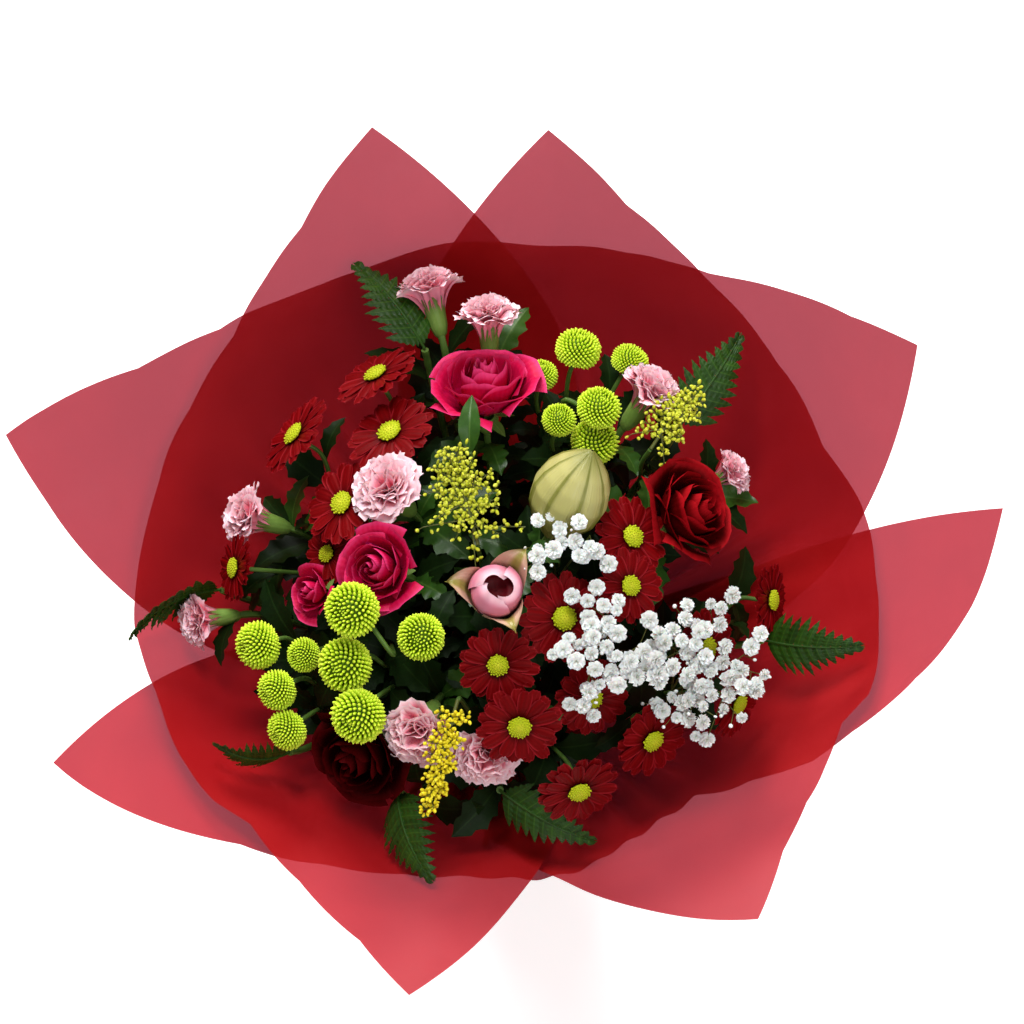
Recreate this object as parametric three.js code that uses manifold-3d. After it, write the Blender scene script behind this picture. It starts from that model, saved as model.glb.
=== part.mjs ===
// Mixed hand-tied flower bouquet in a red film wrapper, standing on its cut stems.
// Units are millimetres, +Z is up and the bouquet's front faces -Y.
import * as THREE from "three";
import Module from "manifold-3d";
import { mergeVertices } from "three/addons/utils/BufferGeometryUtils.js";

const wasm = await Module();
wasm.setup();
const { Manifold, Mesh: SolidMesh } = wasm;

// Driving dimensions
const TIE_HEIGHT = 145;
const TIE_BAND = 8;
const CROWN_HEIGHT = 402;
const SIDE_DROP = 52;
const BACK_DROP = 14;
const FRONT_DROP = 66;
const DOME_HALF_WIDTH = 150;
const DOME_BACK = 130;
const DOME_FRONT = 165;
const STEM_RADIUS = 2.2;
const TWIG_RADIUS = 1.25;
const FOOT_RADIUS = 62;
const SPIRAL = 0.62;
const FILM = 0.6;
const TAIL_HEIGHT = 82;
const SEAT_GAP = 0.3;
const FILM_CLEARANCE = 7;
const FROND_CLEARANCE = 4;
const FROND_ARCH = 7;
const FROND_FOLD = -0.12;
const FROND_RISE = 90;

// The view that the placement pixels belong to
const VIEW_ELEVATION = THREE.MathUtils.degToRad(66);
const VIEW_DISTANCE = 1800;
const MM_PER_PIXEL = 0.55;
const PICTURE_CENTRE = 512;
const AXIS_PIXEL = [500, 560];
const AXIS_HEIGHT = 320;

const VIEW_RIGHT = new THREE.Vector3(1, 0, 0);
const VIEW_UP = new THREE.Vector3(0, Math.sin(VIEW_ELEVATION), Math.cos(VIEW_ELEVATION));
const VIEW_TOWARD = new THREE.Vector3(0, -Math.cos(VIEW_ELEVATION), Math.sin(VIEW_ELEVATION));
const AIM = new THREE.Vector3(0, 0, AXIS_HEIGHT)
  .addScaledVector(VIEW_RIGHT, (PICTURE_CENTRE - AXIS_PIXEL[0]) * MM_PER_PIXEL)
  .addScaledVector(VIEW_UP, (AXIS_PIXEL[1] - PICTURE_CENTRE) * MM_PER_PIXEL);
const EYE = AIM.clone().addScaledVector(VIEW_TOWARD, VIEW_DISTANCE);

// Heads: pixel of the centre, radius in millimetres, lift toward the view
const ROSES = [
  { name: "rose_pink_1", at: [483, 385], radius: 32, lift: 4 },
  { name: "rose_pink_2", at: [378, 570], radius: 24, lift: 2 },
  { name: "rose_pink_3", at: [312, 592], radius: 16, lift: -4 },
  { name: "rose_red_1", at: [690, 510], radius: 31, lift: 8 },
  { name: "rose_red_2", at: [360, 757], radius: 30, lift: -6 },
];
const CARNATIONS = [
  { name: "carnation_1", at: [428, 284], radius: 20, lift: 4 },
  { name: "carnation_2", at: [488, 312], radius: 19, lift: 8 },
  { name: "carnation_3", at: [655, 388], radius: 20, lift: 6 },
  { name: "carnation_4", at: [385, 487], radius: 22, lift: 8 },
  { name: "carnation_5", at: [243, 515], radius: 19, lift: 0 },
  { name: "carnation_6", at: [195, 620], radius: 17, lift: 0 },
  { name: "carnation_7", at: [418, 735], radius: 21, lift: 2 },
  { name: "carnation_8", at: [486, 757], radius: 20, lift: -6 },
  { name: "carnation_9", at: [735, 470], radius: 14, lift: -12 },
];
// A bud's aim is how far it leans right, up and toward the viewer in the picture
const LILIES = [
  { name: "lily_bud_closed", at: [571, 492], radius: 23, lift: 10, open: false, aim: [0.36, 0.72, 0.59] },
  {
    name: "lily_bud_opening",
    at: [496, 592],
    radius: 18,
    lift: 8,
    open: true,
    aim: [0, 0.3, 0.95],
    spin: 3.02,
  },
];
const POMPONS = [
  { at: [352, 610], radius: 14, lift: 8, spray: 1 },
  { at: [345, 665], radius: 14, lift: 10, spray: 1 },
  { at: [358, 716], radius: 14, lift: 14, spray: 1 },
  { at: [421, 637], radius: 12, lift: 6, spray: 1 },
  { at: [258, 645], radius: 12.5, lift: 0, spray: 2 },
  { at: [277, 690], radius: 10.5, lift: 2, spray: 2 },
  { at: [287, 730], radius: 10.5, lift: 0, spray: 2 },
  { at: [304, 655], radius: 9, lift: -4, spray: 2 },
  { at: [541, 375], radius: 9, lift: 0, spray: 3 },
  { at: [578, 349], radius: 12, lift: 4, spray: 3 },
  { at: [630, 361], radius: 10, lift: -4, spray: 3 },
  { at: [559, 420], radius: 9, lift: 2, spray: 3 },
  { at: [599, 408], radius: 11.5, lift: 4, spray: 3 },
  { at: [595, 441], radius: 12.5, lift: -8, spray: 3 },
];
const DAISIES = [
  { name: "daisy_1", at: [378, 378], radius: 24, lift: 2, spray: 1 },
  { name: "daisy_2", at: [392, 435], radius: 25, lift: 2, spray: 1 },
  { name: "daisy_3", at: [298, 437], radius: 24, lift: 2, spray: 2 },
  { name: "daisy_4", at: [345, 505], radius: 24, lift: 0, spray: 2 },
  { name: "daisy_5", at: [330, 555], radius: 17, lift: -14, spray: 2 },
  { name: "daisy_6", at: [238, 568], radius: 19, lift: -10, spray: 2 },
  { name: "daisy_7", at: [630, 538], radius: 22, lift: 0, spray: 3 },
  { name: "daisy_8", at: [628, 586], radius: 20, lift: 2, spray: 3 },
  { name: "daisy_9", at: [563, 618], radius: 24, lift: -2, spray: 3 },
  { name: "daisy_10", at: [498, 664], radius: 21, lift: 0, spray: 4 },
  { name: "daisy_11", at: [519, 724], radius: 23, lift: 4, spray: 4 },
  { name: "daisy_12", at: [578, 788], radius: 22, lift: 0, spray: 4 },
  { name: "daisy_13", at: [590, 697], radius: 21, lift: -8, spray: 4 },
  { name: "daisy_14", at: [703, 648], radius: 23, lift: -6, spray: 5 },
  { name: "daisy_15", at: [768, 600], radius: 20, lift: -4, spray: 5 },
  { name: "daisy_16", at: [650, 738], radius: 22, lift: -6, spray: 5 },
  { name: "daisy_17", at: [735, 702], radius: 20, lift: -8, spray: 5 },
];

// Fine fillers: pixel of the middle, spread in millimetres, number of florets
const GYPSOPHILA = [
  { name: "gypsophila_1", at: [612, 655], spread: [30, 34], florets: 15, lift: 18 },
  { name: "gypsophila_2", at: [705, 672], spread: [32, 36], florets: 16, lift: 18 },
  { name: "gypsophila_3", at: [568, 540], spread: [24, 17], florets: 10, lift: 20 },
];
const SOLIDAGO = [
  { name: "solidago_1", base: [478, 545], tip: [452, 462], lift: 12, buds: 14, plume: 19 },
  { name: "solidago_2", base: [650, 450], tip: [692, 398], lift: 10, buds: 10, plume: 13 },
  { name: "solidago_3", base: [458, 700], tip: [430, 808], lift: 14, buds: 10, plume: 9 },
];
const FERNS = [
  { name: "fern_1", base: [425, 350], tip: [352, 262], lift: -6, width: 46 },
  { name: "fern_2", base: [678, 428], tip: [742, 332], lift: -8, width: 44 },
  { name: "fern_3", base: [762, 640], tip: [866, 646], lift: -8, width: 44 },
  { name: "fern_4", base: [398, 790], tip: [434, 884], lift: -14, width: 50 },
  { name: "fern_5", base: [500, 790], tip: [598, 842], lift: -12, width: 40 },
  { name: "fern_6", base: [222, 590], tip: [128, 640], lift: -10, width: 42 },
  { name: "fern_7", base: [290, 752], tip: [212, 742], lift: -12, width: 38 },
];
const LEAVES = [
  { name: "leaf_1", base: [470, 452], tip: [472, 395], lift: 16, width: 11 },
  { name: "leaf_2", base: [528, 552], tip: [560, 563], lift: 4, width: 12 },
];

// Leaves on the flower stems, spread over the gaps between the heads
const LEAF_ROWS = { top: 330, bottom: 800, left: 215, right: 785, step: 43 };
const LEAF_DEPTH = 34;
const LEAF_OVERRUN = 15;
const LEAF_REACH = [10, 34];
const LEAF_WIDTH = 0.46;
const LEAF_ARCH = 4;
const LEAF_CLEARANCE = 5;

// Wrapper sheets: outer edge and the two edges that run in to the neck, inner layer first
const SHEETS = [
  {
    name: "wrap_left",
    neck: [42, 318],
    edge: [[372, 127], [302, 228], [233, 335], [190, 410], [160, 480], [142, 545], [136, 625],
      [155, 690], [180, 755], [215, 800], [250, 825], [300, 880], [360, 940], [409, 996]],
  },
  {
    name: "wrap_right",
    neck: [-140, 142],
    edge: [[755, 911], [780, 845], [802, 795], [820, 760], [838, 719], [863, 689], [871, 647],
      [873, 598], [865, 549], [852, 500], [818, 447], [770, 367], [700, 281], [624, 210], [547, 137]],
  },
  {
    name: "wrap_back",
    neck: [-28, 212],
    edge: [[905, 346], [836, 320], [773, 297], [700, 281], [620, 265], [560, 257], [520, 256],
      [448, 257], [362, 282], [300, 305], [233, 335], [150, 370], [60, 408], [20, 432]],
  },
  {
    name: "wrap_front",
    neck: [-190, 18],
    edge: [[68, 746], [120, 782], [170, 806], [250, 825], [330, 842], [410, 852], [490, 855],
      [567, 848], [630, 815], [684, 777], [735, 761], [800, 745], [838, 717], [897, 663],
      [953, 595], [983, 501]],
  },
];

// Wrapper surface: radius at each height, steep at the neck and flaring to the rim
const BEND_START = 255;
const BEND_LENGTH = 90;
const NECK_RADIUS = 17.6;
const COLLAR_RADIUS = NECK_RADIUS - 0.7;
const TIE_ROOM = 0.75;
const SLOPE_IN = { side: 0.96, back: 0.86, front: 0.94 };
const SLOPE_OUT = { side: 0.62, back: 0.30, front: 1.47 };
const TAIL_SLOPE = 0.46;
const NECK_PITCH = 1.0;
const RIM_PITCH = 4.8;

function sideMix(values, phi) {
  const s = Math.sin(phi);
  const end = s > 0 ? values.back : values.front;
  return values.side + (end - values.side) * Math.abs(s);
}

function filmRadius(phi, z) {
  if (z < TIE_HEIGHT) return NECK_RADIUS + TAIL_SLOPE * (TIE_HEIGHT - z);
  const inner = sideMix(SLOPE_IN, phi);
  const outer = sideMix(SLOPE_OUT, phi);
  const x = Math.min(1, Math.max(0, (z - BEND_START) / BEND_LENGTH));
  const blend = BEND_LENGTH * (x ** 3 - x ** 4 / 2) + Math.max(0, z - BEND_START - BEND_LENGTH);
  return NECK_RADIUS + inner * (z - TIE_HEIGHT) + (outer - inner) * blend;
}

function filmPoint(phi, z, offset) {
  const e = 0.5;
  const slope = (filmRadius(phi, z + e) - filmRadius(phi, z - e)) / (2 * e);
  const bounded = Math.abs(z - TIE_HEIGHT) < 1 ? 0 : slope;
  const length = Math.hypot(1, bounded);
  const r = filmRadius(phi, z) + offset / length;
  return new THREE.Vector3(r * Math.cos(phi), r * Math.sin(phi), z - (bounded * offset) / length);
}

// Seeded randomness
function randomFrom(seed) {
  let state = seed >>> 0;
  return () => {
    state = (state * 1664525 + 1013904223) >>> 0;
    return state / 4294967296;
  };
}

// Solids
function toSolid(geometry) {
  const bare = new THREE.BufferGeometry();
  bare.setAttribute("position", geometry.getAttribute("position"));
  if (geometry.index) bare.setIndex(geometry.index);
  const merged = mergeVertices(bare, 1e-4);
  return new Manifold(new SolidMesh({
    numProp: 3,
    vertProperties: new Float32Array(merged.getAttribute("position").array),
    triVerts: new Uint32Array(merged.index.array),
  }));
}

function solidFrom(points, faces) {
  const flat = new Float32Array(points.flatMap((p) => [p.x, p.y, p.z]));
  const solid = new Manifold(new SolidMesh({
    numProp: 3,
    vertProperties: flat,
    triVerts: new Uint32Array(faces.flat()),
  }));
  return solid;
}

function fuse(solids) {
  return Manifold.union(solids);
}

function largestBody(solid) {
  const bodies = solid.decompose();
  return bodies.reduce((best, body) => (body.volume() > best.volume() ? body : best));
}

function placement(centre, facing, spin = 0) {
  const turn = new THREE.Quaternion().setFromUnitVectors(new THREE.Vector3(0, 0, 1), facing);
  const twist = new THREE.Quaternion().setFromAxisAngle(new THREE.Vector3(0, 0, 1), spin);
  return new THREE.Matrix4().compose(centre, turn.multiply(twist), new THREE.Vector3(1, 1, 1));
}

function placed(solid, matrix) {
  return solid.transform(matrix.elements.slice());
}

function grownHull(solid, centre, margin, reach) {
  const factor = 1 + margin / reach;
  return solid.hull()
    .translate([-centre.x, -centre.y, -centre.z])
    .scale(factor)
    .translate([centre.x, centre.y, centre.z]);
}

// A round stem along a smooth path
function tube(points, radius, sides, steps) {
  const section = new THREE.Shape();
  for (let i = 0; i < sides; i += 1) {
    const angle = (2 * Math.PI * i) / sides;
    const x = radius * Math.cos(angle);
    const y = radius * Math.sin(angle);
    if (i === 0) section.moveTo(x, y);
    else section.lineTo(x, y);
  }
  const path = new THREE.CatmullRomCurve3(points);
  path.getPointAt = (u, target) => path.getPoint(u, target);
  path.getTangentAt = (u, target) => path.getTangent(u, target);
  return toSolid(new THREE.ExtrudeGeometry(section, { steps, bevelEnabled: false, extrudePath: path }));
}

function turned(profile, sides) {
  const points = profile.map(([r, z]) => new THREE.Vector2(r, z));
  return toSolid(new THREE.LatheGeometry(points, sides).rotateX(Math.PI / 2));
}

// A thin blade from a flat outline, bent by a rule and thickened along its normal
function blade(outline, holes, thickness, bend) {
  const flat = [...outline, ...holes.flat()];
  const triangles = THREE.ShapeUtils.triangulateShape(outline, holes);
  const top = flat.map((p) => bent(p, bend, thickness / 2));
  const bottom = flat.map((p) => bent(p, bend, -thickness / 2));
  const faces = [];
  const n = flat.length;
  for (const [a, b, c] of triangles) {
    faces.push([a, b, c], [n + a, n + c, n + b]);
  }
  let start = 0;
  for (const loop of [outline, ...holes]) {
    for (let i = 0; i < loop.length; i += 1) {
      const a = start + i;
      const b = start + ((i + 1) % loop.length);
      faces.push([a, n + a, n + b], [a, n + b, b]);
    }
    start += loop.length;
  }
  const solid = solidFrom([...top, ...bottom], faces);
  return solid.volume() < 0 ? solidFrom([...top, ...bottom], faces.map(([a, b, c]) => [a, c, b])) : solid;
}

function bent(p, bend, offset) {
  const e = 0.01;
  const centre = bend(p.x, p.y);
  const alongX = bend(p.x + e, p.y).sub(centre);
  const alongY = bend(p.x, p.y + e).sub(centre);
  const normal = alongX.cross(alongY).normalize();
  return centre.addScaledVector(normal, offset);
}

// A thick sheet over a grid of points, split alike on both faces
function gridSheet(rows, thickness) {
  const height = rows.length;
  const width = rows[0].length;
  const normalAt = (i, j) => {
    const a = rows[Math.min(i + 1, height - 1)][j].clone().sub(rows[Math.max(i - 1, 0)][j]);
    const b = rows[i][Math.min(j + 1, width - 1)].clone().sub(rows[i][Math.max(j - 1, 0)]);
    return a.cross(b).normalize();
  };
  const points = [];
  for (const side of [0.5, -0.5]) {
    rows.forEach((row, i) => row.forEach((p, j) => {
      points.push(p.clone().addScaledVector(normalAt(i, j), thickness * side));
    }));
  }
  const n = height * width;
  const faces = [];
  for (let i = 0; i < height - 1; i += 1) {
    for (let j = 0; j < width - 1; j += 1) {
      const a = i * width + j;
      const b = a + 1;
      const c = a + width;
      const d = c + 1;
      faces.push([a, c, b], [b, c, d], [n + a, n + b, n + c], [n + b, n + d, n + c]);
    }
  }
  const rim = [];
  for (let j = 0; j < width - 1; j += 1) rim.push(j);
  for (let i = 0; i < height - 1; i += 1) rim.push(i * width + width - 1);
  for (let j = width - 1; j > 0; j -= 1) rim.push((height - 1) * width + j);
  for (let i = height - 1; i > 0; i -= 1) rim.push(i * width);
  rim.forEach((a, k) => {
    const b = rim[(k + 1) % rim.length];
    faces.push([a, b, n + a], [b, n + b, n + a]);
  });
  const solid = solidFrom(points, faces);
  return solid.volume() < 0 ? solidFrom(points, faces.map(([a, b, c]) => [a, c, b])) : solid;
}

// Placement on the dome of flowers
function viewRay(pixel) {
  return AIM.clone()
    .addScaledVector(VIEW_RIGHT, (pixel[0] - PICTURE_CENTRE) * MM_PER_PIXEL)
    .addScaledVector(VIEW_UP, (PICTURE_CENTRE - pixel[1]) * MM_PER_PIXEL)
    .sub(EYE)
    .normalize();
}

function domeHeight(x, y) {
  const back = y > 0 ? BACK_DROP * (y / DOME_BACK) ** 2 : FRONT_DROP * (y / DOME_FRONT) ** 2;
  return CROWN_HEIGHT - SIDE_DROP * (x / DOME_HALF_WIDTH) ** 2 - back;
}

function firstAlong(ray, isInside) {
  let near = VIEW_DISTANCE * 0.6;
  let far = near;
  while (far < VIEW_DISTANCE * 1.3 && !isInside(EYE.clone().addScaledVector(ray, far))) {
    near = far;
    far += 4;
  }
  for (let i = 0; i < 24; i += 1) {
    const middle = (near + far) / 2;
    if (isInside(EYE.clone().addScaledVector(ray, middle))) far = middle;
    else near = middle;
  }
  return far;
}

function onDome(pixel, lift) {
  const ray = viewRay(pixel);
  const distance = firstAlong(ray, (p) => p.z < domeHeight(p.x, p.y));
  return EYE.clone().addScaledVector(ray, distance - lift);
}

function outward(point, lean = 1) {
  const radial = Math.hypot(point.x, point.y);
  const tilt = Math.min(1.25, lean * 1.15 * (radial / 150) ** 1.1);
  const flat = new THREE.Vector3(point.x, point.y, 0).normalize();
  return flat.multiplyScalar(Math.sin(tilt)).setZ(Math.cos(tilt));
}

// Heads are spaced along their view rays until none presses into another
function layoutHeads() {
  const flatness = { rose: 0.62, carnation: 0.55, lily: 0.9, pompon: 0.85, daisy: 0.26 };
  const kinds = [
    ["rose", ROSES],
    ["carnation", CARNATIONS],
    ["lily", LILIES],
    ["pompon", POMPONS],
    ["daisy", DAISIES],
  ];
  const heads = kinds.flatMap(([kind, list]) => list.map((item) => ({ ...item, kind })));
  for (const head of heads) {
    head.ray = viewRay(head.at);
    head.centre = onDome(head.at, head.lift);
    head.depth = head.radius * flatness[head.kind];
  }
  for (let round = 0; round < 120; round += 1) {
    for (let i = 0; i < heads.length; i += 1) {
      for (let j = i + 1; j < heads.length; j += 1) separate(heads[i], heads[j]);
    }
  }
  for (const head of heads) head.facing = head.aim ? inPicture(head.aim) : outward(head.centre);
  return heads;
}

function inPicture([right, up, toward]) {
  return new THREE.Vector3()
    .addScaledVector(VIEW_RIGHT, right)
    .addScaledVector(VIEW_UP, up)
    .addScaledVector(VIEW_TOWARD, toward)
    .normalize();
}

function separate(a, b) {
  const gap = b.centre.clone().sub(a.centre);
  const along = gap.dot(VIEW_TOWARD);
  const across = Math.sqrt(Math.max(0, gap.lengthSq() - along * along));
  const reach = a.radius + b.radius;
  if (across >= reach) return;
  const need = (a.depth + b.depth) * Math.sqrt(1 - (across / reach) ** 2) + 1;
  const lack = need - Math.abs(along);
  if (lack <= 0) return;
  const step = Math.min(lack / 2, 1.5) * (along >= 0 ? 1 : -1);
  a.centre.addScaledVector(a.ray, step * 0.5);
  b.centre.addScaledVector(b.ray, -step * 0.5);
}

// Rose: a bud core wrapped in rings of cupped petals
function rosePetal(radius, ring, angle, half) {
  const rings = [
    { mid: 0.52, top: 0.34, height: 0.5 },
    { mid: 0.68, top: 0.64, height: 0.44 },
    { mid: 0.80, top: 0.99, height: 0.20 },
  ];
  const shape = rings[ring];
  const stations = [[0.16, -0.5], [shape.mid, -0.1], [shape.top, shape.height]];
  if (ring === 0) stations.splice(0, 2, [0.3, -0.15]);
  const last = stations.length - 1;
  const rows = stations.map(([r, z], i) => [-1, 0, 1].map((u) => {
    const theta = angle + u * half * (i === last ? 0.8 : 0.95);
    const drop = i === last ? 0.16 * u * u : 0;
    return new THREE.Vector3(
      radius * r * Math.cos(theta),
      radius * r * Math.sin(theta),
      radius * (z - drop),
    );
  }));
  return gridSheet(rows, 1.1);
}

function rose(radius) {
  const core = turned([[0, -0.62], [0.24, -0.58], [0.5, -0.28], [0.44, 0.12], [0.2, 0.44], [0, 0.4]]
    .map(([r, z]) => [r * radius, z * radius]), 5);
  const solids = [core];
  const counts = radius < 20 ? [[3, 0.85], [3, 0.8]] : [[3, 0.85], [3, 0.86], [4, 0.7]];
  counts.forEach(([count, half], ring) => {
    for (let k = 0; k < count; k += 1) {
      solids.push(rosePetal(radius, ring, (2 * Math.PI * k) / count + ring * 0.7, half));
    }
  });
  return fuse(solids);
}

// Carnation: ruffled tiers with toothed edges, one above another round a funnel core
function carnation(radius) {
  const columns = 10;
  const lip = 0.9 / radius;
  const rings = [
    { r: 0.24, z: -0.72, edge: 0 },
    { r: 0.36, z: -0.4, edge: 0 },
    { r: 1.0, z: -0.1, edge: 1 },
    { r: 0.98, z: -0.1 + lip, edge: 1 },
    { r: 0.5, z: -0.06, edge: 0 },
    { r: 0.84, z: 0.16, edge: 1 },
    { r: 0.8, z: 0.16 + lip, edge: 1 },
    { r: 0.38, z: 0.18, edge: 0 },
    { r: 0.56, z: 0.42, edge: 0.7 },
    { r: 0.5, z: 0.42 + lip, edge: 0.7 },
    { r: 0.2, z: 0.26, edge: 0 },
  ];
  const points = rings.flatMap(({ r, z, edge }, level) => {
    const tier = Math.floor((level + 1) / 3);
    return Array.from({ length: columns }, (_, k) => {
      const angle = (2 * Math.PI * k) / columns;
      const tooth = 1 - (edge ? 0.16 * ((k + tier) % 2) : 0);
      const wave = edge * 0.09 * Math.sin(4 * angle + tier * 1.7);
      const reach = r * radius * tooth;
      return new THREE.Vector3(reach * Math.cos(angle), reach * Math.sin(angle), (z + wave) * radius);
    });
  });
  const faces = [];
  for (let i = 0; i < rings.length - 1; i += 1) {
    const runsInward = rings[i + 1].r < rings[i].r;
    for (let k = 0; k < columns; k += 1) {
      const a = i * columns + k;
      const b = i * columns + ((k + 1) % columns);
      if (runsInward) faces.push([a, b, b + columns], [a, b + columns, a + columns]);
      else faces.push([a, b, a + columns], [b, b + columns, a + columns]);
    }
  }
  const foot = points.length;
  points.push(new THREE.Vector3(0, 0, -0.72 * radius), new THREE.Vector3(0, 0, 0.4 * radius));
  const last = (rings.length - 1) * columns;
  for (let k = 0; k < columns; k += 1) {
    const next = (k + 1) % columns;
    faces.push([foot, next, k], [last + k, last + next, foot + 1]);
  }
  return solidFrom(points, faces);
}

// Lily bud: a ribbed spindle, with curled tips when it opens
function lilyBud(radius, open) {
  const stations = open
    ? [[0.12, -1.3], [0.55, -0.8], [0.72, -0.1], [0.78, 0.35], [0.5, 0.55]]
    : [[0.14, -1.35], [0.62, -0.8], [0.86, -0.1], [0.66, 0.7], [0.2, 1.3]];
  const sides = 12;
  const points = [];
  const faces = [];
  stations.forEach(([r, z]) => {
    for (let k = 0; k < sides; k += 1) {
      const angle = (2 * Math.PI * k) / sides;
      const rib = 1 + 0.07 * (k % 2 ? -1 : 1) + 0.05 * Math.cos(3 * angle);
      const reach = r * radius * rib;
      points.push(new THREE.Vector3(reach * Math.cos(angle), reach * Math.sin(angle), z * radius));
    }
  });
  for (let i = 0; i < stations.length - 1; i += 1) {
    for (let k = 0; k < sides; k += 1) {
      const a = i * sides + k;
      const b = i * sides + ((k + 1) % sides);
      faces.push([a, b, a + sides], [b, b + sides, a + sides]);
    }
  }
  const last = (stations.length - 1) * sides;
  for (let k = 1; k < sides - 1; k += 1) {
    faces.push([0, k + 1, k], [last, last + k, last + k + 1]);
  }
  const solids = [solidFrom(points, faces)];
  if (open) {
    for (let k = 0; k < 3; k += 1) solids.push(lilyTepal(radius, (2 * Math.PI * k) / 3));
  }
  return fuse(solids);
}

function lilyTepal(radius, angle) {
  const rows = [[0.6, -0.2, 0.75], [0.88, 0.3, 0.62], [1.12, 0.5, 0.36], [1.45, 0.5, 0.05]]
    .map(([r, z, half]) => [-1, 0, 1].map((u) => {
      const theta = angle + u * half;
      return new THREE.Vector3(
        radius * r * Math.cos(theta),
        radius * r * Math.sin(theta),
        radius * (z + 0.06 * u * u),
      );
    }));
  return gridSheet(rows, 1.4);
}

// Pompon head: rows of raised florets round a dimpled ball
function pompon(radius) {
  const columns = 6;
  const rowAngles = [0.42, 0.98, 1.55, 2.15];
  const points = [new THREE.Vector3(0, 0, radius * 0.72)];
  const faces = [];
  const ringPoint = (polar, k, reach) => {
    const angle = (2 * Math.PI * k) / columns;
    return new THREE.Vector3(
      reach * Math.sin(polar) * Math.cos(angle),
      reach * Math.sin(polar) * Math.sin(angle),
      reach * Math.cos(polar) * 0.86,
    );
  };
  rowAngles.forEach((polar, row) => {
    for (let k = 0; k < columns; k += 1) points.push(ringPoint(polar, k + row * 0.5, radius * 0.86));
  });
  const at = (row, k) => 1 + row * columns + ((k + columns) % columns);
  for (let k = 0; k < columns; k += 1) faces.push([0, at(0, k), at(0, k + 1)]);
  for (let row = 0; row < rowAngles.length - 1; row += 1) {
    for (let k = 0; k < columns; k += 1) {
      const corners = [at(row, k), at(row + 1, k), at(row, k + 1)];
      const lower = [at(row + 1, k), at(row + 1, k + 1), at(row, k + 1)];
      const peak = points.length;
      const polar = (rowAngles[row] + rowAngles[row + 1]) / 2;
      points.push(ringPoint(polar, k + row * 0.5 + 0.75, radius * 1.06));
      faces.push([corners[0], corners[1], peak], [corners[2], corners[0], peak]);
      faces.push([lower[0], lower[1], peak], [lower[1], lower[2], peak]);
    }
  }
  const end = points.length;
  points.push(new THREE.Vector3(0, 0, -radius * 0.7));
  for (let k = 0; k < columns; k += 1) faces.push([at(3, k + 1), at(3, k), end]);
  return solidFrom(points, faces);
}

// Single chrysanthemum: a ring of rays, and the disc on its stalk through the ring
function rayRing(radius, rays) {
  const outline = [];
  const hole = [];
  for (let k = 0; k < rays; k += 1) {
    const mid = (2 * Math.PI * (k + 0.5)) / rays;
    const step = (2 * Math.PI) / rays;
    const reach = radius * (k % 3 === 1 ? 0.93 : 1);
    const spots = [[-0.5, 0.34], [-0.26, 0.97], [0.3, 1]];
    for (const [turn, share] of spots) {
      const angle = mid + turn * step;
      const r = turn === -0.5 ? radius * share : reach * share;
      outline.push(new THREE.Vector2(r * Math.cos(angle), r * Math.sin(angle)));
    }
  }
  for (let k = 0; k < 6; k += 1) {
    const angle = (-2 * Math.PI * k) / 6;
    hole.push(new THREE.Vector2(2.6 * Math.cos(angle), 2.6 * Math.sin(angle)));
  }
  const bend = (x, y) => {
    const share = Math.hypot(x, y) / radius;
    const lap = Math.sin(Math.atan2(y, x) * 3) * 0.04 * radius * share;
    return new THREE.Vector3(x, y, 0.16 * radius * share * (1.6 - share) + lap);
  };
  return blade(outline, [hole], 1.0, bend);
}

function daisyCentre(radius, grow) {
  const disc = 0.27 * radius;
  const lift = 0.09 * radius + 0.5 + SEAT_GAP;
  return turned([
    [0, -6],
    [1.4 + grow, -6],
    [3.6 + grow, -0.9 - SEAT_GAP],
    [2.0, -0.9 - SEAT_GAP],
    [2.0, lift],
    [disc + grow, lift],
    [0, lift + 2.8 + grow],
  ], 6);
}

// Stems: each runs from its foot through the spiral tie up to a head or a fork
function bundlePlaces(targets) {
  const pitch = 2 * STEM_RADIUS + 0.25;
  const places = targets.map((t) => new THREE.Vector2(t.x, t.y).multiplyScalar(0.075));
  for (let round = 0; round < 400; round += 1) {
    for (let i = 0; i < places.length; i += 1) {
      places[i].multiplyScalar(0.992);
      for (let j = i + 1; j < places.length; j += 1) {
        const gap = places[j].clone().sub(places[i]);
        const distance = Math.max(gap.length(), 1e-3);
        if (distance >= pitch) continue;
        gap.multiplyScalar((pitch - distance) / distance / 2);
        places[i].sub(gap);
        places[j].add(gap);
      }
    }
  }
  return places;
}

function stemPath(place, target, facing, spread) {
  const turnAt = (height) => SPIRAL * (height - TIE_HEIGHT) / TIE_HEIGHT;
  const low = (height) => {
    const wide = 1 + (FOOT_RADIUS / spread - 1) * Math.abs(TIE_HEIGHT - height) / TIE_HEIGHT;
    return place.clone().multiplyScalar(wide).rotateAround(new THREE.Vector2(), turnAt(height));
  };
  const foot = low(-8);
  const tie = low(TIE_HEIGHT);
  const share = 0.45;
  const neck = target.clone().addScaledVector(facing, -16);
  const middle = tie.clone().lerp(new THREE.Vector2(neck.x, neck.y), share * 0.92);
  const lower = new THREE.Vector3(middle.x, middle.y, TIE_HEIGHT + (target.z - TIE_HEIGHT) * share);
  return [
    new THREE.Vector3(foot.x, foot.y, -8),
    new THREE.Vector3(tie.x, tie.y, TIE_HEIGHT),
    lower,
    lower.clone().lerp(neck, 0.6),
    neck,
    target.clone(),
  ];
}

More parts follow.
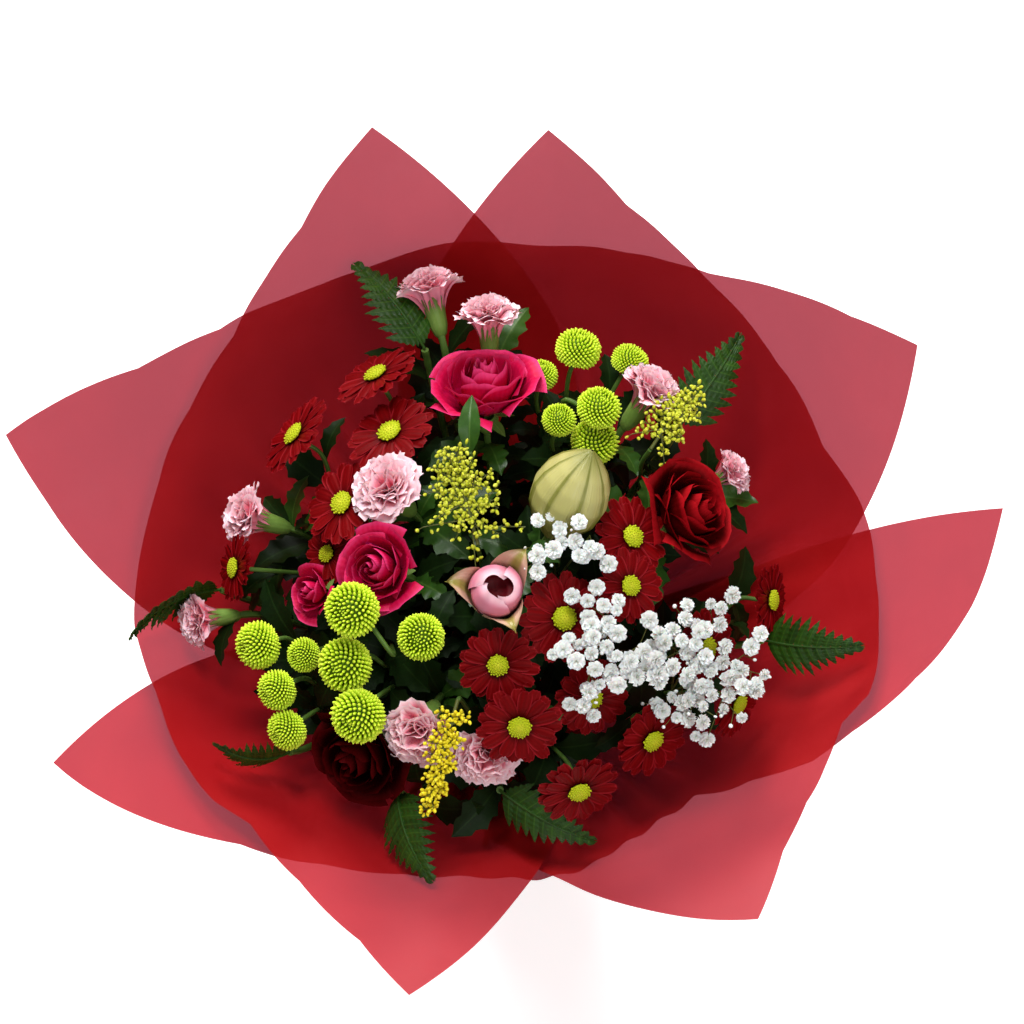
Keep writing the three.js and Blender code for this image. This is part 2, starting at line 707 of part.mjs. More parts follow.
// Bends a path sideways past the heads that are not its own
function clearPath(path, members, free) {
  const others = heads.filter((head) => !members.includes(head));
  for (let round = 0; round < 60; round += 1) {
    const curve = new THREE.CatmullRomCurve3(path);
    let moved = false;
    for (let k = 1; k < 40; k += 1) {
      const t = k / 40;
      const spot = curve.getPoint(t);
      for (const head of others) {
        const push = pushAway(spot, head);
        if (!push) continue;
        for (const index of free) {
          const weight = Math.max(0, 1 - Math.abs(t * (path.length - 1) - index));
          path[index].addScaledVector(push, weight * 0.6);
          moved = moved || weight > 0;
        }
      }
    }
    if (!moved) break;
  }
  return path;
}

function pushAway(spot, head) {
  const away = spot.clone().sub(head.centre);
  const rise = away.dot(head.facing);
  away.addScaledVector(head.facing, -rise);
  const wide = head.radius + 4.5;
  const deep = head.depth + 5;
  const lateral = Math.max(away.length(), 0.5);
  if ((lateral / wide) ** 2 + (rise / deep) ** 2 >= 1) return null;
  return away.multiplyScalar((wide - lateral) / lateral / 2);
}

function mainStem(path, grow) {
  return tube(path, STEM_RADIUS + grow, 4, 5);
}

// Light fillers branch from the nearest flower stem
function sideShoot(start, paths, grow) {
  const height = TIE_HEIGHT + (start.z - TIE_HEIGHT) * 0.6;
  const spots = paths.map((path) => pointAtHeight(path, height));
  const from = spots.reduce((a, b) => (a.distanceTo(start) < b.distanceTo(start) ? a : b));
  const neck = start.clone().addScaledVector(outward(start, 0.5), -14);
  const path = clearPath([from, from.clone().lerp(neck, 0.5), neck, start.clone()], [], [1, 2]);
  return tube(path, TWIG_RADIUS + grow, 3, 3);
}

function pointAtHeight(path, height) {
  const curve = new THREE.CatmullRomCurve3(path);
  let low = 0;
  let high = 1;
  for (let i = 0; i < 20; i += 1) {
    const middle = (low + high) / 2;
    if (curve.getPoint(middle).z < height) low = middle;
    else high = middle;
  }
  return curve.getPoint(low);
}

// Sprays: the heads that share one main stem, and the fork where they part
function fork(points, drop, pull) {
  const middle = new THREE.Vector3();
  points.forEach((p) => middle.add(p));
  middle.divideScalar(points.length);
  return new THREE.Vector3(middle.x * pull, middle.y * pull, middle.z - drop);
}

function underHead(head) {
  const lily = head.open ? 1.3 : 1.35;
  const length = { rose: 0.8, carnation: 1.0, lily, pompon: 0.66, daisy: 0 }[head.kind];
  const back = head.radius * length + (head.kind === "daisy" ? 5.4 : SEAT_GAP);
  return head.centre.clone().addScaledVector(head.facing, -back);
}

function groupSprays(heads) {
  const groups = new Map();
  for (const head of heads) {
    const key = head.spray ? `${head.kind}_${head.spray}` : head.name;
    if (!groups.has(key)) groups.set(key, []);
    groups.get(key).push(head);
  }
  return groups;
}

// The calyx or receptacle below each head
function calyx(head, grow) {
  const size = head.radius;
  if (head.kind === "rose") {
    return turned([[0, -0.98], [0.07, -0.98], [0.24, -0.62], [0, -0.62]]
      .map(([r, z]) => [r * size + (r ? grow : 0), z * size - SEAT_GAP]), 6);
  }
  if (head.kind === "carnation") {
    return turned([[0, -1.5], [0.09, -1.5], [0.24, -0.72], [0, -0.72]]
      .map(([r, z]) => [r * size + (r ? grow : 0), z * size - SEAT_GAP]), 6);
  }
  if (head.kind === "daisy") return daisyCentre(size, grow);
  return null;
}

function twigPath(from, to, head) {
  const bend = to.clone().addScaledVector(head.facing, -12);
  return clearPath([from.clone(), from.clone().lerp(bend, 0.5), bend, to.clone()], [head], [1, 2]);
}

function twig(from, to, head, grow, radius = TWIG_RADIUS) {
  return tube(twigPath(from, to, head), radius + grow, 3, 3);
}

const heads = layoutHeads();
const sprays = groupSprays(heads);
const headSolids = new Map();
heads.forEach((head, index) => {
  const makers = {
    rose: () => rose(head.radius),
    carnation: () => carnation(head.radius),
    lily: () => lilyBud(head.radius, head.open),
    pompon: () => pompon(head.radius),
    daisy: () => rayRing(head.radius, 9),
  };
  const spin = head.spin ?? index * 0.9;
  headSolids.set(head, placed(makers[head.kind](), placement(head.centre, head.facing, spin)));
});

// Fine sprays and foliage share the same forks
function fillerPaths() {
  const list = [];
  for (const item of [...SOLIDAGO, ...FERNS, ...LEAVES]) {
    const base = insideFilm(onDome(item.base, item.lift - 10));
    list.push({ item, start: base });
  }
  for (const item of GYPSOPHILA) {
    const middle = onDome(item.at, item.lift);
    list.push({ item, start: new THREE.Vector3(middle.x * 0.86, middle.y * 0.86, middle.z - 62) });
  }
  return list;
}

const fillers = fillerPaths();

function stemTargets() {
  const targets = [];
  for (const [key, members] of sprays) {
    const bases = members.map(underHead);
    if (members.length === 1) {
      targets.push({ key, members, end: bases[0], facing: members[0].facing, single: true });
    } else {
      const end = fork(bases, 78, 0.8);
      targets.push({ key, members, end, facing: outward(end, 0.5), single: false });
    }
  }
  for (const { item, start } of fillers.filter(({ item: { name } }) => name.startsWith("fern"))) {
    targets.push({ key: item.name, members: [], end: start, facing: outward(start, 0.5), single: true });
  }
  return targets;
}

const targets = stemTargets();
const bundle = bundlePlaces(targets.map((t) => t.end));
const bundleRadius = Math.max(...bundle.map((p) => p.length()));
const stemPaths = targets.map((t, i) => {
  const path = stemPath(bundle[i], t.end, t.facing, bundleRadius);
  return clearPath(path, t.members, [2, 3, 4]);
});

function hullsExcept(members) {
  return heads.filter((head) => !members.includes(head)).map((head) => headHulls.get(head));
}

const headHulls = new Map(heads.map((head) => [
  head,
  grownHull(headSolids.get(head), head.centre, 0.6, head.radius),
]));

function stemParts(grow) {
  const parts = [];
  targets.forEach((target, index) => {
    const own = [mainStem(stemPaths[index], grow)];
    const isPompon = target.members.some((head) => head.kind === "pompon");
    if (!isPompon) {
      for (const head of target.members) {
        const base = underHead(head);
        if (!target.single) own.push(twig(target.end, base, head, grow));
        const cup = calyx(head, grow);
        if (cup) own.push(placed(cup, placement(head.centre, head.facing)));
      }
    }
    parts.push(fuse(own).subtract(fuse(hullsExcept(target.members))));
  });
  for (const { item, start } of fillers) {
    if (item.name.startsWith("fern")) continue;
    parts.push(sideShoot(start, stemPaths, grow).subtract(fuse(hullsExcept([]))));
  }
  return parts;
}

function stems() {
  const core = turned([[0, -4], [COLLAR_RADIUS, -4], [COLLAR_RADIUS, 4], [0, 4]], 12)
    .translate([0, 0, TIE_HEIGHT]);
  const leaves = stemLeaves().map(leafBlade);
  const all = fuse([...stemParts(0), ...leaves, core]).trimByPlane([0, 0, 1], 0);
  return largestBody(all.asOriginal().simplify(0.5));
}

// Centre lines of every twig and blade that the stem leaves keep clear of
function fillerLines() {
  const lines = [];
  const add = (points, radius) => lines.push({ points, radius });
  for (const target of targets.filter((t) => t.members.some((head) => head.kind === "pompon"))) {
    for (const head of target.members) {
      const base = head.centre.clone().addScaledVector(head.facing, -head.radius * 0.5);
      add(sampled(twigPath(raised(target.end, 1.4), base, head), 24), 1.4);
    }
  }
  GYPSOPHILA.forEach((item, index) => {
    const { start } = fillers.find((f) => f.item === item);
    for (const spot of gypsophilaForks(item, randomFrom(11 + index))) {
      add(sampled([raised(start, 0.75), start.clone().lerp(spot, 0.55), spot], 24), 0.75);
    }
  });
  SOLIDAGO.forEach((item) => {
    const { start } = fillers.find((f) => f.item === item);
    add(sampled(solidagoPath(item, start), 24), item.plume * 0.7);
  });
  for (const item of [...FERNS, ...LEAVES]) {
    const { start } = fillers.find((f) => f.item === item);
    const from = raised(start, 0.9);
    const tip = onDome(item.tip, item.lift);
    add(sampled([from, from.clone().lerp(tip, 0.5), tip], 24), item.width * 0.5);
  }
  return lines;
}

function sampled(points, count) {
  const curve = new THREE.CatmullRomCurve3(points);
  return Array.from({ length: count + 1 }, (_, k) => curve.getPoint(k / count));
}

// A leaf grows from the nearest stem toward its gap, where nothing is in its way
function stemLeaves() {
  const routes = stemPaths.map((path) => sampled(path, 60).filter((p) => p.z > TIE_HEIGHT + 60));
  const spots = routes.flat();
  const lines = fillerLines();
  const leaves = [];
  let row = 0;
  for (let y = LEAF_ROWS.top; y <= LEAF_ROWS.bottom; y += LEAF_ROWS.step) {
    const first = LEAF_ROWS.left + (row % 2) * LEAF_ROWS.step * 0.5;
    for (let x = first; x <= LEAF_ROWS.right; x += LEAF_ROWS.step) {
      const leaf = leafToward([x, y], spots);
      if (leaf && leafIsFree(leaf, lines)) leaves.push(leaf);
    }
    row += 1;
  }
  return leaves;
}

function leafToward(pixel, spots) {
  const gap = onDome(pixel, -LEAF_DEPTH);
  const below = spots.filter((p) => p.z < gap.z - 2);
  if (below.length === 0) return null;
  const root = below.reduce((a, b) => (a.distanceTo(gap) < b.distanceTo(gap) ? a : b));
  const reach = root.distanceTo(gap);
  if (reach < LEAF_REACH[0] || reach > LEAF_REACH[1]) return null;
  const tip = gap.clone().addScaledVector(gap.clone().sub(root).normalize(), LEAF_OVERRUN);
  const frame = bladeFrame(root, tip);
  return { root, frame, width: frame.length * LEAF_WIDTH };
}

function leafPoint(leaf, x, y) {
  const share = y / leaf.frame.length;
  return leaf.root.clone()
    .addScaledVector(leaf.frame.along, y)
    .addScaledVector(leaf.frame.side, x)
    .addScaledVector(leaf.frame.normal, LEAF_ARCH * 4 * share * (1 - share));
}

function leafIsFree(leaf, lines) {
  for (let i = 1; i <= 8; i += 1) {
    for (const side of [-0.5, 0, 0.5]) {
      const spot = leafPoint(leaf, side * leaf.width, (i / 8) * leaf.frame.length);
      if (!isInsideFilm(spot)) return false;
      if (heads.some((head) => pushAway(spot, head))) return false;
      const touches = (line) => line.points.some((p) => p.distanceTo(spot) < line.radius + LEAF_CLEARANCE);
      if (lines.some(touches)) return false;
    }
  }
  return true;
}

function leafBlade(leaf) {
  const shape = [[0.06, 0], [0.42, 0.28], [0.46, 0.58], [0, 1]];
  const right = shape.map(([x, y]) => new THREE.Vector2(x * leaf.width, y * leaf.frame.length));
  const left = shape.slice(0, 3).reverse()
    .map(([x, y]) => new THREE.Vector2(-x * leaf.width, y * leaf.frame.length));
  return blade([...right, ...left], [], 0.8, (x, y) => leafPoint(leaf, x, y));
}

// Pompon sprays carry their own twigs up from the fork
function pomponSpray(number) {
  const target = targets.find((t) => t.key === `pompon_${number}`);
  const solids = [];
  for (const head of target.members) {
    const base = head.centre.clone().addScaledVector(head.facing, -head.radius * 0.5);
    solids.push(headSolids.get(head), twig(raised(target.end, 1.4), base, head, 0, 1.4));
  }
  return fuse(solids).subtract(fuse(hullsExcept(target.members)));
}

function raised(point, radius) {
  return point.clone().addScaledVector(outward(point, 0.5), SEAT_GAP + 0.7 * radius);
}

// Gypsophila: florets on hair-thin twigs from a few forks
function floret(centre, size, facing) {
  const ball = new THREE.OctahedronGeometry(size, 0).scale(1, 1, 0.75);
  return placed(toSolid(ball), placement(centre, facing));
}

function gypsophilaForks(item, random) {
  const middle = onDome(item.at, item.lift);
  return Array.from({ length: 5 }, (_, k) => {
    const angle = (2 * Math.PI * k) / 5 + random();
    return middle.clone()
      .addScaledVector(VIEW_RIGHT, Math.cos(angle) * item.spread[0] * 0.5)
      .addScaledVector(VIEW_UP, Math.sin(angle) * item.spread[1] * 0.5)
      .addScaledVector(VIEW_TOWARD, -14);
  });
}

function gypsophila(item, start, seed) {
  const random = randomFrom(seed);
  const middle = onDome(item.at, item.lift);
  const forks = gypsophilaForks(item, random);
  const solids = forks.map((spot) => {
    const bend = start.clone().lerp(spot, 0.55);
    return tube([raised(start, 0.75), bend, spot], 0.75, 3, 2);
  });
  for (let k = 0; k < item.florets; k += 1) {
    const angle = k * 2.4 + random() * 0.4;
    const reach = Math.sqrt((k + 0.6) / item.florets);
    const spot = middle.clone()
      .addScaledVector(VIEW_RIGHT, Math.cos(angle) * reach * item.spread[0])
      .addScaledVector(VIEW_UP, Math.sin(angle) * reach * item.spread[1])
      .addScaledVector(VIEW_TOWARD, random() * 9 - 3);
    const nearest = forks.reduce((a, b) => (a.distanceTo(spot) < b.distanceTo(spot) ? a : b));
    const dip = nearest.clone().lerp(spot, 0.6).add(new THREE.Vector3(0, 0, -3));
    solids.push(tube([nearest, dip, spot], 0.55, 3, 2));
    solids.push(floret(spot, 3.6 + random() * 1.2, outward(spot)));
  }
  return fuse(solids);
}

// Solidago: a curved spike set with buds
function solidagoPath(item, start) {
  const tip = onDome(item.tip, item.lift + 4);
  const middle = start.clone().lerp(tip, 0.5).add(new THREE.Vector3(0, 0, 7));
  return [raised(start, 1.2), middle, tip];
}

function solidago(item, start, seed) {
  const random = randomFrom(seed);
  const path = new THREE.CatmullRomCurve3(solidagoPath(item, start));
  const solids = [tube(path.points, 1.2, 3, 2)];
  for (let k = 0; k < item.buds; k += 1) {
    const share = 0.25 + (0.75 * k) / (item.buds - 1);
    const along = path.getPoint(share);
    const angle = k * 2.4;
    const reach = item.plume * (1.15 - share * 0.75);
    const bud = along.clone()
      .addScaledVector(VIEW_RIGHT, Math.cos(angle) * reach)
      .addScaledVector(VIEW_UP, Math.sin(angle) * reach)
      .addScaledVector(VIEW_TOWARD, 3);
    const size = new THREE.OctahedronGeometry(1, 0).scale(2.4, 2.4, 4.2 + random());
    const aim = bud.clone().sub(along).normalize();
    solids.push(tube([along, along.clone().lerp(bud, 0.5), bud], 0.6, 3, 1));
    solids.push(placed(toSolid(size), placement(bud.lerp(along, 0.15), aim)));
  }
  return fuse(solids);
}

// Leatherleaf frond: one toothed outline of paired leaflets, arched along its rib
function frondOutline(length, width, pairs) {
  const right = [];
  for (let k = 0; k < pairs; k += 1) {
    const s = (k + 0.5) / pairs;
    const y = length * (0.14 + 0.86 * s);
    const reach = (width / 2) * Math.min(1, 0.62 + s) * (1.08 - s);
    const rise = length * 0.055;
    right.push([1.6, y - length * 0.06]);
    right.push([reach * 0.62, y - rise * 0.35]);
    right.push([reach * 0.66, y + rise * 0.1]);
    right.push([reach, y + rise * 1.1]);
  }
  const points = [[1.1, 0], ...right, [0, length * 1.02]];
  const left = [...right].reverse().map(([x, y]) => [-x, y + 0.4]);
  return [...points, ...left, [-1.1, 0]].map(([x, y]) => new THREE.Vector2(x, y));
}

function bladeFrame(start, tip) {
  const along = tip.clone().sub(start);
  const length = along.length();
  along.normalize();
  const up = outward(start.clone().lerp(tip, 0.5), 0.8);
  const side = along.clone().cross(up).normalize();
  const normal = side.clone().cross(along).normalize();
  return { along, side, normal, length };
}

function arched(start, frame, arch, fold) {
  return (x, y) => {
    const share = y / frame.length;
    const lift = arch * 4 * share * (1 - share) + fold * Math.abs(x);
    return start.clone()
      .addScaledVector(frame.along, y)
      .addScaledVector(frame.side, x)
      .addScaledVector(frame.normal, lift);
  };
}

function isInsideFilm(point, clearance = FILM_CLEARANCE) {
  return Math.hypot(point.x, point.y) < filmRadius(Math.atan2(point.y, point.x), point.z) - clearance;
}

// A point past the film is raised toward the viewer until it is inside
function insideFilm(point) {
  if (isInsideFilm(point)) return point;
  let low = 0;
  let high = 120;
  for (let i = 0; i < 32; i += 1) {
    const middle = (low + high) / 2;
    if (isInsideFilm(point.clone().addScaledVector(VIEW_TOWARD, middle))) high = middle;
    else low = middle;
  }
  return point.addScaledVector(VIEW_TOWARD, high);
}

// A frond's tip rises along the view until the whole blade clears the film
function frondShape(item, start) {
  const from = raised(start, 0.9);
  let shape = null;
  for (let lift = item.lift; lift < item.lift + FROND_RISE; lift += 2) {
    const frame = bladeFrame(from, onDome(item.tip, lift));
    const bend = arched(from, frame, FROND_ARCH, FROND_FOLD);
    const outline = frondOutline(frame.length, item.width, 5);
    shape = { frame, bend, outline };
    if (outline.every((p) => isInsideFilm(bend(p.x, p.y), FROND_CLEARANCE))) break;
  }
  return shape;
}

function frond(item, start) {
  const { frame, bend, outline } = frondShape(item, start);
  const rib = tube([0, 0.4, 0.75].map((share) => bend(0, share * frame.length)), 0.9, 3, 2);
  return fuse([blade(outline, [], 0.8, bend), rib]);
}

function lanceLeaf(item, start) {
  const from = raised(start, 0.9);
  const tip = onDome(item.tip, item.lift + 4);
  const frame = bladeFrame(from, tip);
  const shape = [[0.16, 0], [0.5, 0.25], [0.55, 0.5], [0.36, 0.78], [0, 1]];
  const right = shape.map(([x, y]) => new THREE.Vector2(x * item.width, y * frame.length));
  const left = shape.slice(0, 4).reverse()
    .map(([x, y]) => new THREE.Vector2(-x * item.width, y * frame.length));
  return blade([...right, ...left], [], 0.8, arched(from, frame, 5, 0.3));
}

// Wrapper sheets
function onFilm(pixel) {
  const ray = viewRay(pixel);
  const distance = firstAlong(ray, (p) => Math.hypot(p.x, p.y) > filmRadius(Math.atan2(p.y, p.x), p.z)
    && p.z < 520);
  return EYE.clone().addScaledVector(ray, distance);
}

function sheetEdge(sheet) {
  const spots = sheet.edge.map((pixel) => {
    const hit = onFilm(pixel);
    return { phi: Math.atan2(hit.y, hit.x), z: hit.z };
  });
  for (let i = 1; i < spots.length; i += 1) {
    while (spots[i].phi - spots[i - 1].phi > Math.PI) spots[i].phi -= 2 * Math.PI;
    while (spots[i].phi - spots[i - 1].phi < -Math.PI) spots[i].phi += 2 * Math.PI;
  }
  return spots;
}

function wrapSheet(sheet, layer) {
  const edge = sheetEdge(sheet);
  const neck = sheet.neck.map(THREE.MathUtils.degToRad);
  while (neck[0] - edge[0].phi > Math.PI) neck.forEach((_, i) => { neck[i] -= 2 * Math.PI; });
  while (neck[0] - edge[0].phi < -Math.PI) neck.forEach((_, i) => { neck[i] += 2 * Math.PI; });
  const levels = [-1, 0, 0.12, 0.3, 0.48, 0.66, 0.84, 1];
  const rows = levels.map((level) => edge.map((spot, j) => {
    const share = j / (edge.length - 1);
    const neckPhi = neck[0] + (neck[1] - neck[0]) * share;
    const z = level < 0 ? TAIL_HEIGHT : TIE_HEIGHT + (spot.z - TIE_HEIGHT) * level;
    const phi = level < 0 ? neckPhi : neckPhi + (spot.phi - neckPhi) * level;
    const pitch = level < 0
      ? NECK_PITCH + 1.2
      : NECK_PITCH + (RIM_PITCH - NECK_PITCH) * Math.min(1, level * 2.2);
    return filmPoint(phi, z, FILM / 2 + layer * pitch);
  }));
  return gridSheet(rows, FILM);
}

function tieBand() {
  const inner = NECK_RADIUS + 3 * NECK_PITCH + FILM + TIE_ROOM;
  const outer = inner + 1.8;
  const half = TIE_BAND / 2;
  const below = TAIL_SLOPE * half + 1.1;
  const above = SLOPE_IN.side * half + 2.4;
  const points = [
    [inner, 0],
    [inner + below, -half],
    [outer + below, -half],
    [outer, 0],
    [outer + above, half],
    [inner + above, half],
    [inner, 0],
  ].map(([r, z]) => new THREE.Vector2(r, z));
  return toSolid(new THREE.LatheGeometry(points, 14).rotateX(Math.PI / 2)).translate([0, 0, TIE_HEIGHT]);
}

// Colours
const COLOURS = {
  film: 0xb5303c,
  tie: 0xd8c9a0,
  green: 0x5f7f3a,
  lime: 0x9dbf3b,
  hotPink: 0xd81e6b,
  darkRed: 0x7a0616,
  palePink: 0xf0a0b4,
  cream: 0xdfd89a,
  crimson: 0x8e0c1c,
  white: 0xf6f4ee,
  yellow: 0xc9c23a,
  fern: 0x2f5a2a,
};

const group = new THREE.Group();
group.name = "flower_bouquet";

function addNode(name, solid, colour, roughness = 0.6) {
  const mesh = solid.getMesh();
  const geometry = new THREE.BufferGeometry();
  geometry.setAttribute("position", new THREE.BufferAttribute(new Float32Array(mesh.vertProperties), 3));
  geometry.setIndex(new THREE.BufferAttribute(new Uint32Array(mesh.triVerts), 1));
  geometry.computeVertexNormals();
  const node = new THREE.Mesh(geometry, new THREE.MeshStandardMaterial({ color: colour, roughness }));
  node.name = name;
  group.add(node);
}

function tidy(solid, tolerance = 0.25) {
  return largestBody(solid.asOriginal().simplify(tolerance));
}

// Heads are cleared from one another in a fixed order
const done = [];
function clearOf(solid, others) {
  const box = solid.boundingBox();
  let rest = solid;
  for (const other of others) {
    const b = other.box;
    const apart = [0, 1, 2].some((i) => b.min[i] > box.max[i] + 1 || b.max[i] < box.min[i] - 1);
    if (!apart) rest = rest.subtract(other.solid);
  }
  return rest;
}

const stemSolid = stems();
const fatStems = fuse(stemParts(0.35));
const stemKeepOut = { solid: fatStems, box: fatStems.boundingBox() };

for (const head of heads.filter((h) => h.kind !== "pompon")) {
  const solid = tidy(clearOf(headSolids.get(head), done));
  const keepOut = headHulls.get(head);
  done.push({ solid: keepOut, box: keepOut.boundingBox() });
  const colours = { rose: head.name.includes("pink") ? COLOURS.hotPink : COLOURS.darkRed };
  colours.carnation = COLOURS.palePink;
  colours.lily = COLOURS.cream;
  colours.daisy = COLOURS.crimson;
  addNode(head.name, solid, colours[head.kind]);
}

for (const number of [1, 2, 3]) {
  const solid = tidy(clearOf(pomponSpray(number), [...done, stemKeepOut]), 0.1);
  addNode(`pompon_spray_${number}`, solid, COLOURS.lime);
}
for (const head of heads.filter((h) => h.kind === "pompon")) {
  const keepOut = headHulls.get(head);
  done.push({ solid: keepOut, box: keepOut.boundingBox() });
}

const fineMakers = [
  [FERNS, (item, start) => frond(item, start), COLOURS.fern],
  [LEAVES, (item, start) => lanceLeaf(item, start), COLOURS.green],
  [SOLIDAGO, (item, start, seed) => solidago(item, start, seed), COLOURS.yellow],
  [GYPSOPHILA, (item, start, seed) => gypsophila(item, start, seed), COLOURS.white],
];
for (const [list, make, colour] of fineMakers) {
  list.forEach((item, index) => {
    const { start } = fillers.find((f) => f.item === item);
    const solid = tidy(clearOf(make(item, start, 11 + index), [...done, stemKeepOut]), 0.1);
    done.push({ solid, box: solid.boundingBox() });
    addNode(item.name, solid, colour);
  });
}

addNode("stems", stemSolid, COLOURS.green);
SHEETS.forEach((sheet, layer) => addNode(sheet.name, wrapSheet(sheet, layer), COLOURS.film, 0.35));
addNode("tie", tieBand(), COLOURS.tie);

// The middle of the bounding box's foot is the origin
const box = new THREE.Box3().setFromObject(group);
const middle = box.getCenter(new THREE.Vector3());
for (const node of group.children) node.geometry.translate(-middle.x, -middle.y, -box.min.z);

export default group;
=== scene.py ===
# Looks of the mixed flower bouquet in its red film wrapper.
import math
import random
import bpy
import numpy as np
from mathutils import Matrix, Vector


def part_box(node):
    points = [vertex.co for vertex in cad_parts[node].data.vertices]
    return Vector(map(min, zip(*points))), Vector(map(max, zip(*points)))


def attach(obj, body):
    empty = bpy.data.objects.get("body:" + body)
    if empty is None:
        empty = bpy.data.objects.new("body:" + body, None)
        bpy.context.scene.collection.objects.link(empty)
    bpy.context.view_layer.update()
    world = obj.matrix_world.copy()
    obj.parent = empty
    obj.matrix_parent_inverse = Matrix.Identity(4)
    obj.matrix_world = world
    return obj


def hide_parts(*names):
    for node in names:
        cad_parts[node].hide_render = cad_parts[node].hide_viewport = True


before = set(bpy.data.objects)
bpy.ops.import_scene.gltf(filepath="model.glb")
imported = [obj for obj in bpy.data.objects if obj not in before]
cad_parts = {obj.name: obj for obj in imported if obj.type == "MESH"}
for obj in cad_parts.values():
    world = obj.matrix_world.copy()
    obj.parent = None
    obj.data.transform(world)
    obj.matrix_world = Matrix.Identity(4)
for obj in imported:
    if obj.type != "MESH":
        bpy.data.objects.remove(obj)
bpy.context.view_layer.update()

# Driving dimensions of the bunch, in millimetres
MM = 0.001
TIE_HEIGHT = 145
CROWN_HEIGHT = 402
SIDE_DROP = 52
BACK_DROP = 14
FRONT_DROP = 66
DOME_HALF_WIDTH = 150
DOME_BACK = 130
DOME_FRONT = 165

# Stems: sizes, the splay at the foot, and how a spray forks
STEM_RADIUS = 2.2
TWIG_RADIUS = 1.25
FOOT_RADIUS = 62
FOOT_START = -8
FOOT_HEIGHT = 0.4
SPIRAL = 0.62
BUNDLE_GAP = 0.25
FORK_DROP = 78
FORK_PULL = 0.8
GYPSOPHILA_DROP = 62
GYPSOPHILA_PULL = 0.86

# Room between a bloom and its stem, round a bloom, and inside the film
SEAT_GAP = 0.3
BLADE_SEAT = 0.9
BLOOM_ROOM = 4.5
BLOOM_ROOM_BELOW = 5
FILM_CLEARANCE = 7
FROND_CLEARANCE = 4
SETTLING_ROUNDS = 120

# Fern fronds: arch, fold along the rib, and how far a tip may rise
FROND_ARCH = 7
FROND_FOLD = -0.12
FROND_RISE = 90

# Petals, florets and leaflets of each kind of bloom and spray
ROSE_PETALS = 30
ROSE_BUD_PETALS = 15
CARNATION_PETALS = 38
DISC_FLORETS = 64
POMPON_FLORETS = 352
GYPSOPHILA_CLUSTERS = 22 / 1000
GYPSOPHILA_SEED = 11
CLUSTER_BUDS = 13
FERN_PAIRS = 10
RAY_WIDTH = 0.15
HEAD_SPIN = 0.9

# Rows of rays: count, share of the reach, lift
RAY_ROWS = [(15, 1.0, -0.2), (11, 0.88, 0.8)]

# Tiers of a gypsophila floret: petals, share of the reach, rise
FLORET_TIERS = [(6, 0.90, -0.30), (7, 1.0, 0.08), (6, 0.84, 0.42), (5, 0.58, 0.68), (3, 0.28, 0.82)]

# Profiles of the calyxes: radius and height
ROSE_CALYX = [(0.07, -0.98), (0.12, -0.92), (0.20, -0.80), (0.22, -0.70), (0.15, -0.64)]
CARNATION_CALYX = [
    (0.09, -1.5), (0.17, -1.42), (0.24, -1.2), (0.27, -0.9), (0.30, -0.6), (0.36, -0.36), (0.32, -0.34),
]
DAISY_CALYX = [(1.3, -6.0), (1.6, -5.0), (3.0, -2.6), (4.2, -1.3), (3.6, -1.1)]

# Leaves on the flower stems, spread over the gaps between the heads
LEAF_ROWS = {"top": 330, "bottom": 800, "left": 215, "right": 785, "step": 43}
LEAF_START = 60
LEAF_DEPTH = 34
LEAF_OVERRUN = 15
LEAF_REACH = (10, 34)
LEAF_WIDTH = 0.46
LEAF_ARCH = 4
LEAF_CLEARANCE = 5

# Dark leaves along the stems, below the heads, painted near-black: partly dark foliage, partly painted shade
# in the gaps between the heads
UNDERLEAF_BOTTOM = 232
UNDERLEAF_PITCH = 7.5
UNDERLEAF_DROP = 13
UNDERLEAF_LENGTH = (24, 42)

# The photograph's view, which the placement pixels belong to
VIEW_ELEVATION = math.radians(66)
VIEW_DISTANCE = 1800
NEAREST_HIT = VIEW_DISTANCE * 0.6
FARTHEST_HIT = VIEW_DISTANCE * 1.3
MM_PER_PIXEL = 0.55
PICTURE_SIZE = 1024
PICTURE_CENTRE = 512
AXIS_PIXEL = (500, 560)
AXIS_HEIGHT = 320
GOLDEN_ANGLE = 2.39996


# Vectors and easing
def vec(x, y, z):
    return np.array([x, y, z], dtype=float)


def unit(v):
    return v / max(np.linalg.norm(v), 1e-9)


def lerp(a, b, share):
    return a + (b - a) * share


def smooth(low, high, value):
    """Eases from 0 to 1 as the value goes from low to high."""
    share = np.clip((value - low) / (high - low), 0, 1)
    return share * share * (3 - 2 * share)


# Rows of points on petals and leaves
def full_turn(sides):
    return np.linspace(0, 2 * math.pi, sides, endpoint=False)


def petal_grid(rows, columns):
    """Places up a petal, from 0 to 1, and across it, from -1 to 1."""
    return np.linspace(0, 1, rows)[:, None], np.linspace(-1, 1, columns)[None, :]


def bent(start, control, end, share):
    """A value that runs from start to end and leans toward its control on the way."""
    return (1 - share) ** 2 * start + 2 * share * (1 - share) * control + share ** 2 * end


def arch(height, share):
    """The rise of a leaf that is highest in its middle."""
    return height * 4 * share * (1 - share)


def around(r, theta, z):
    """Points at a radius and bearing round an upright axis."""
    return np.stack([r * np.cos(theta), r * np.sin(theta), z + 0 * theta], axis=-1)


def swung(x, y, z, bearing):
    """Points of a petal that lies along x, swung to its bearing."""
    c, s = math.cos(bearing), math.sin(bearing)
    return np.stack([x * c - y * s, x * s + y * c, z + 0 * y], axis=-1)


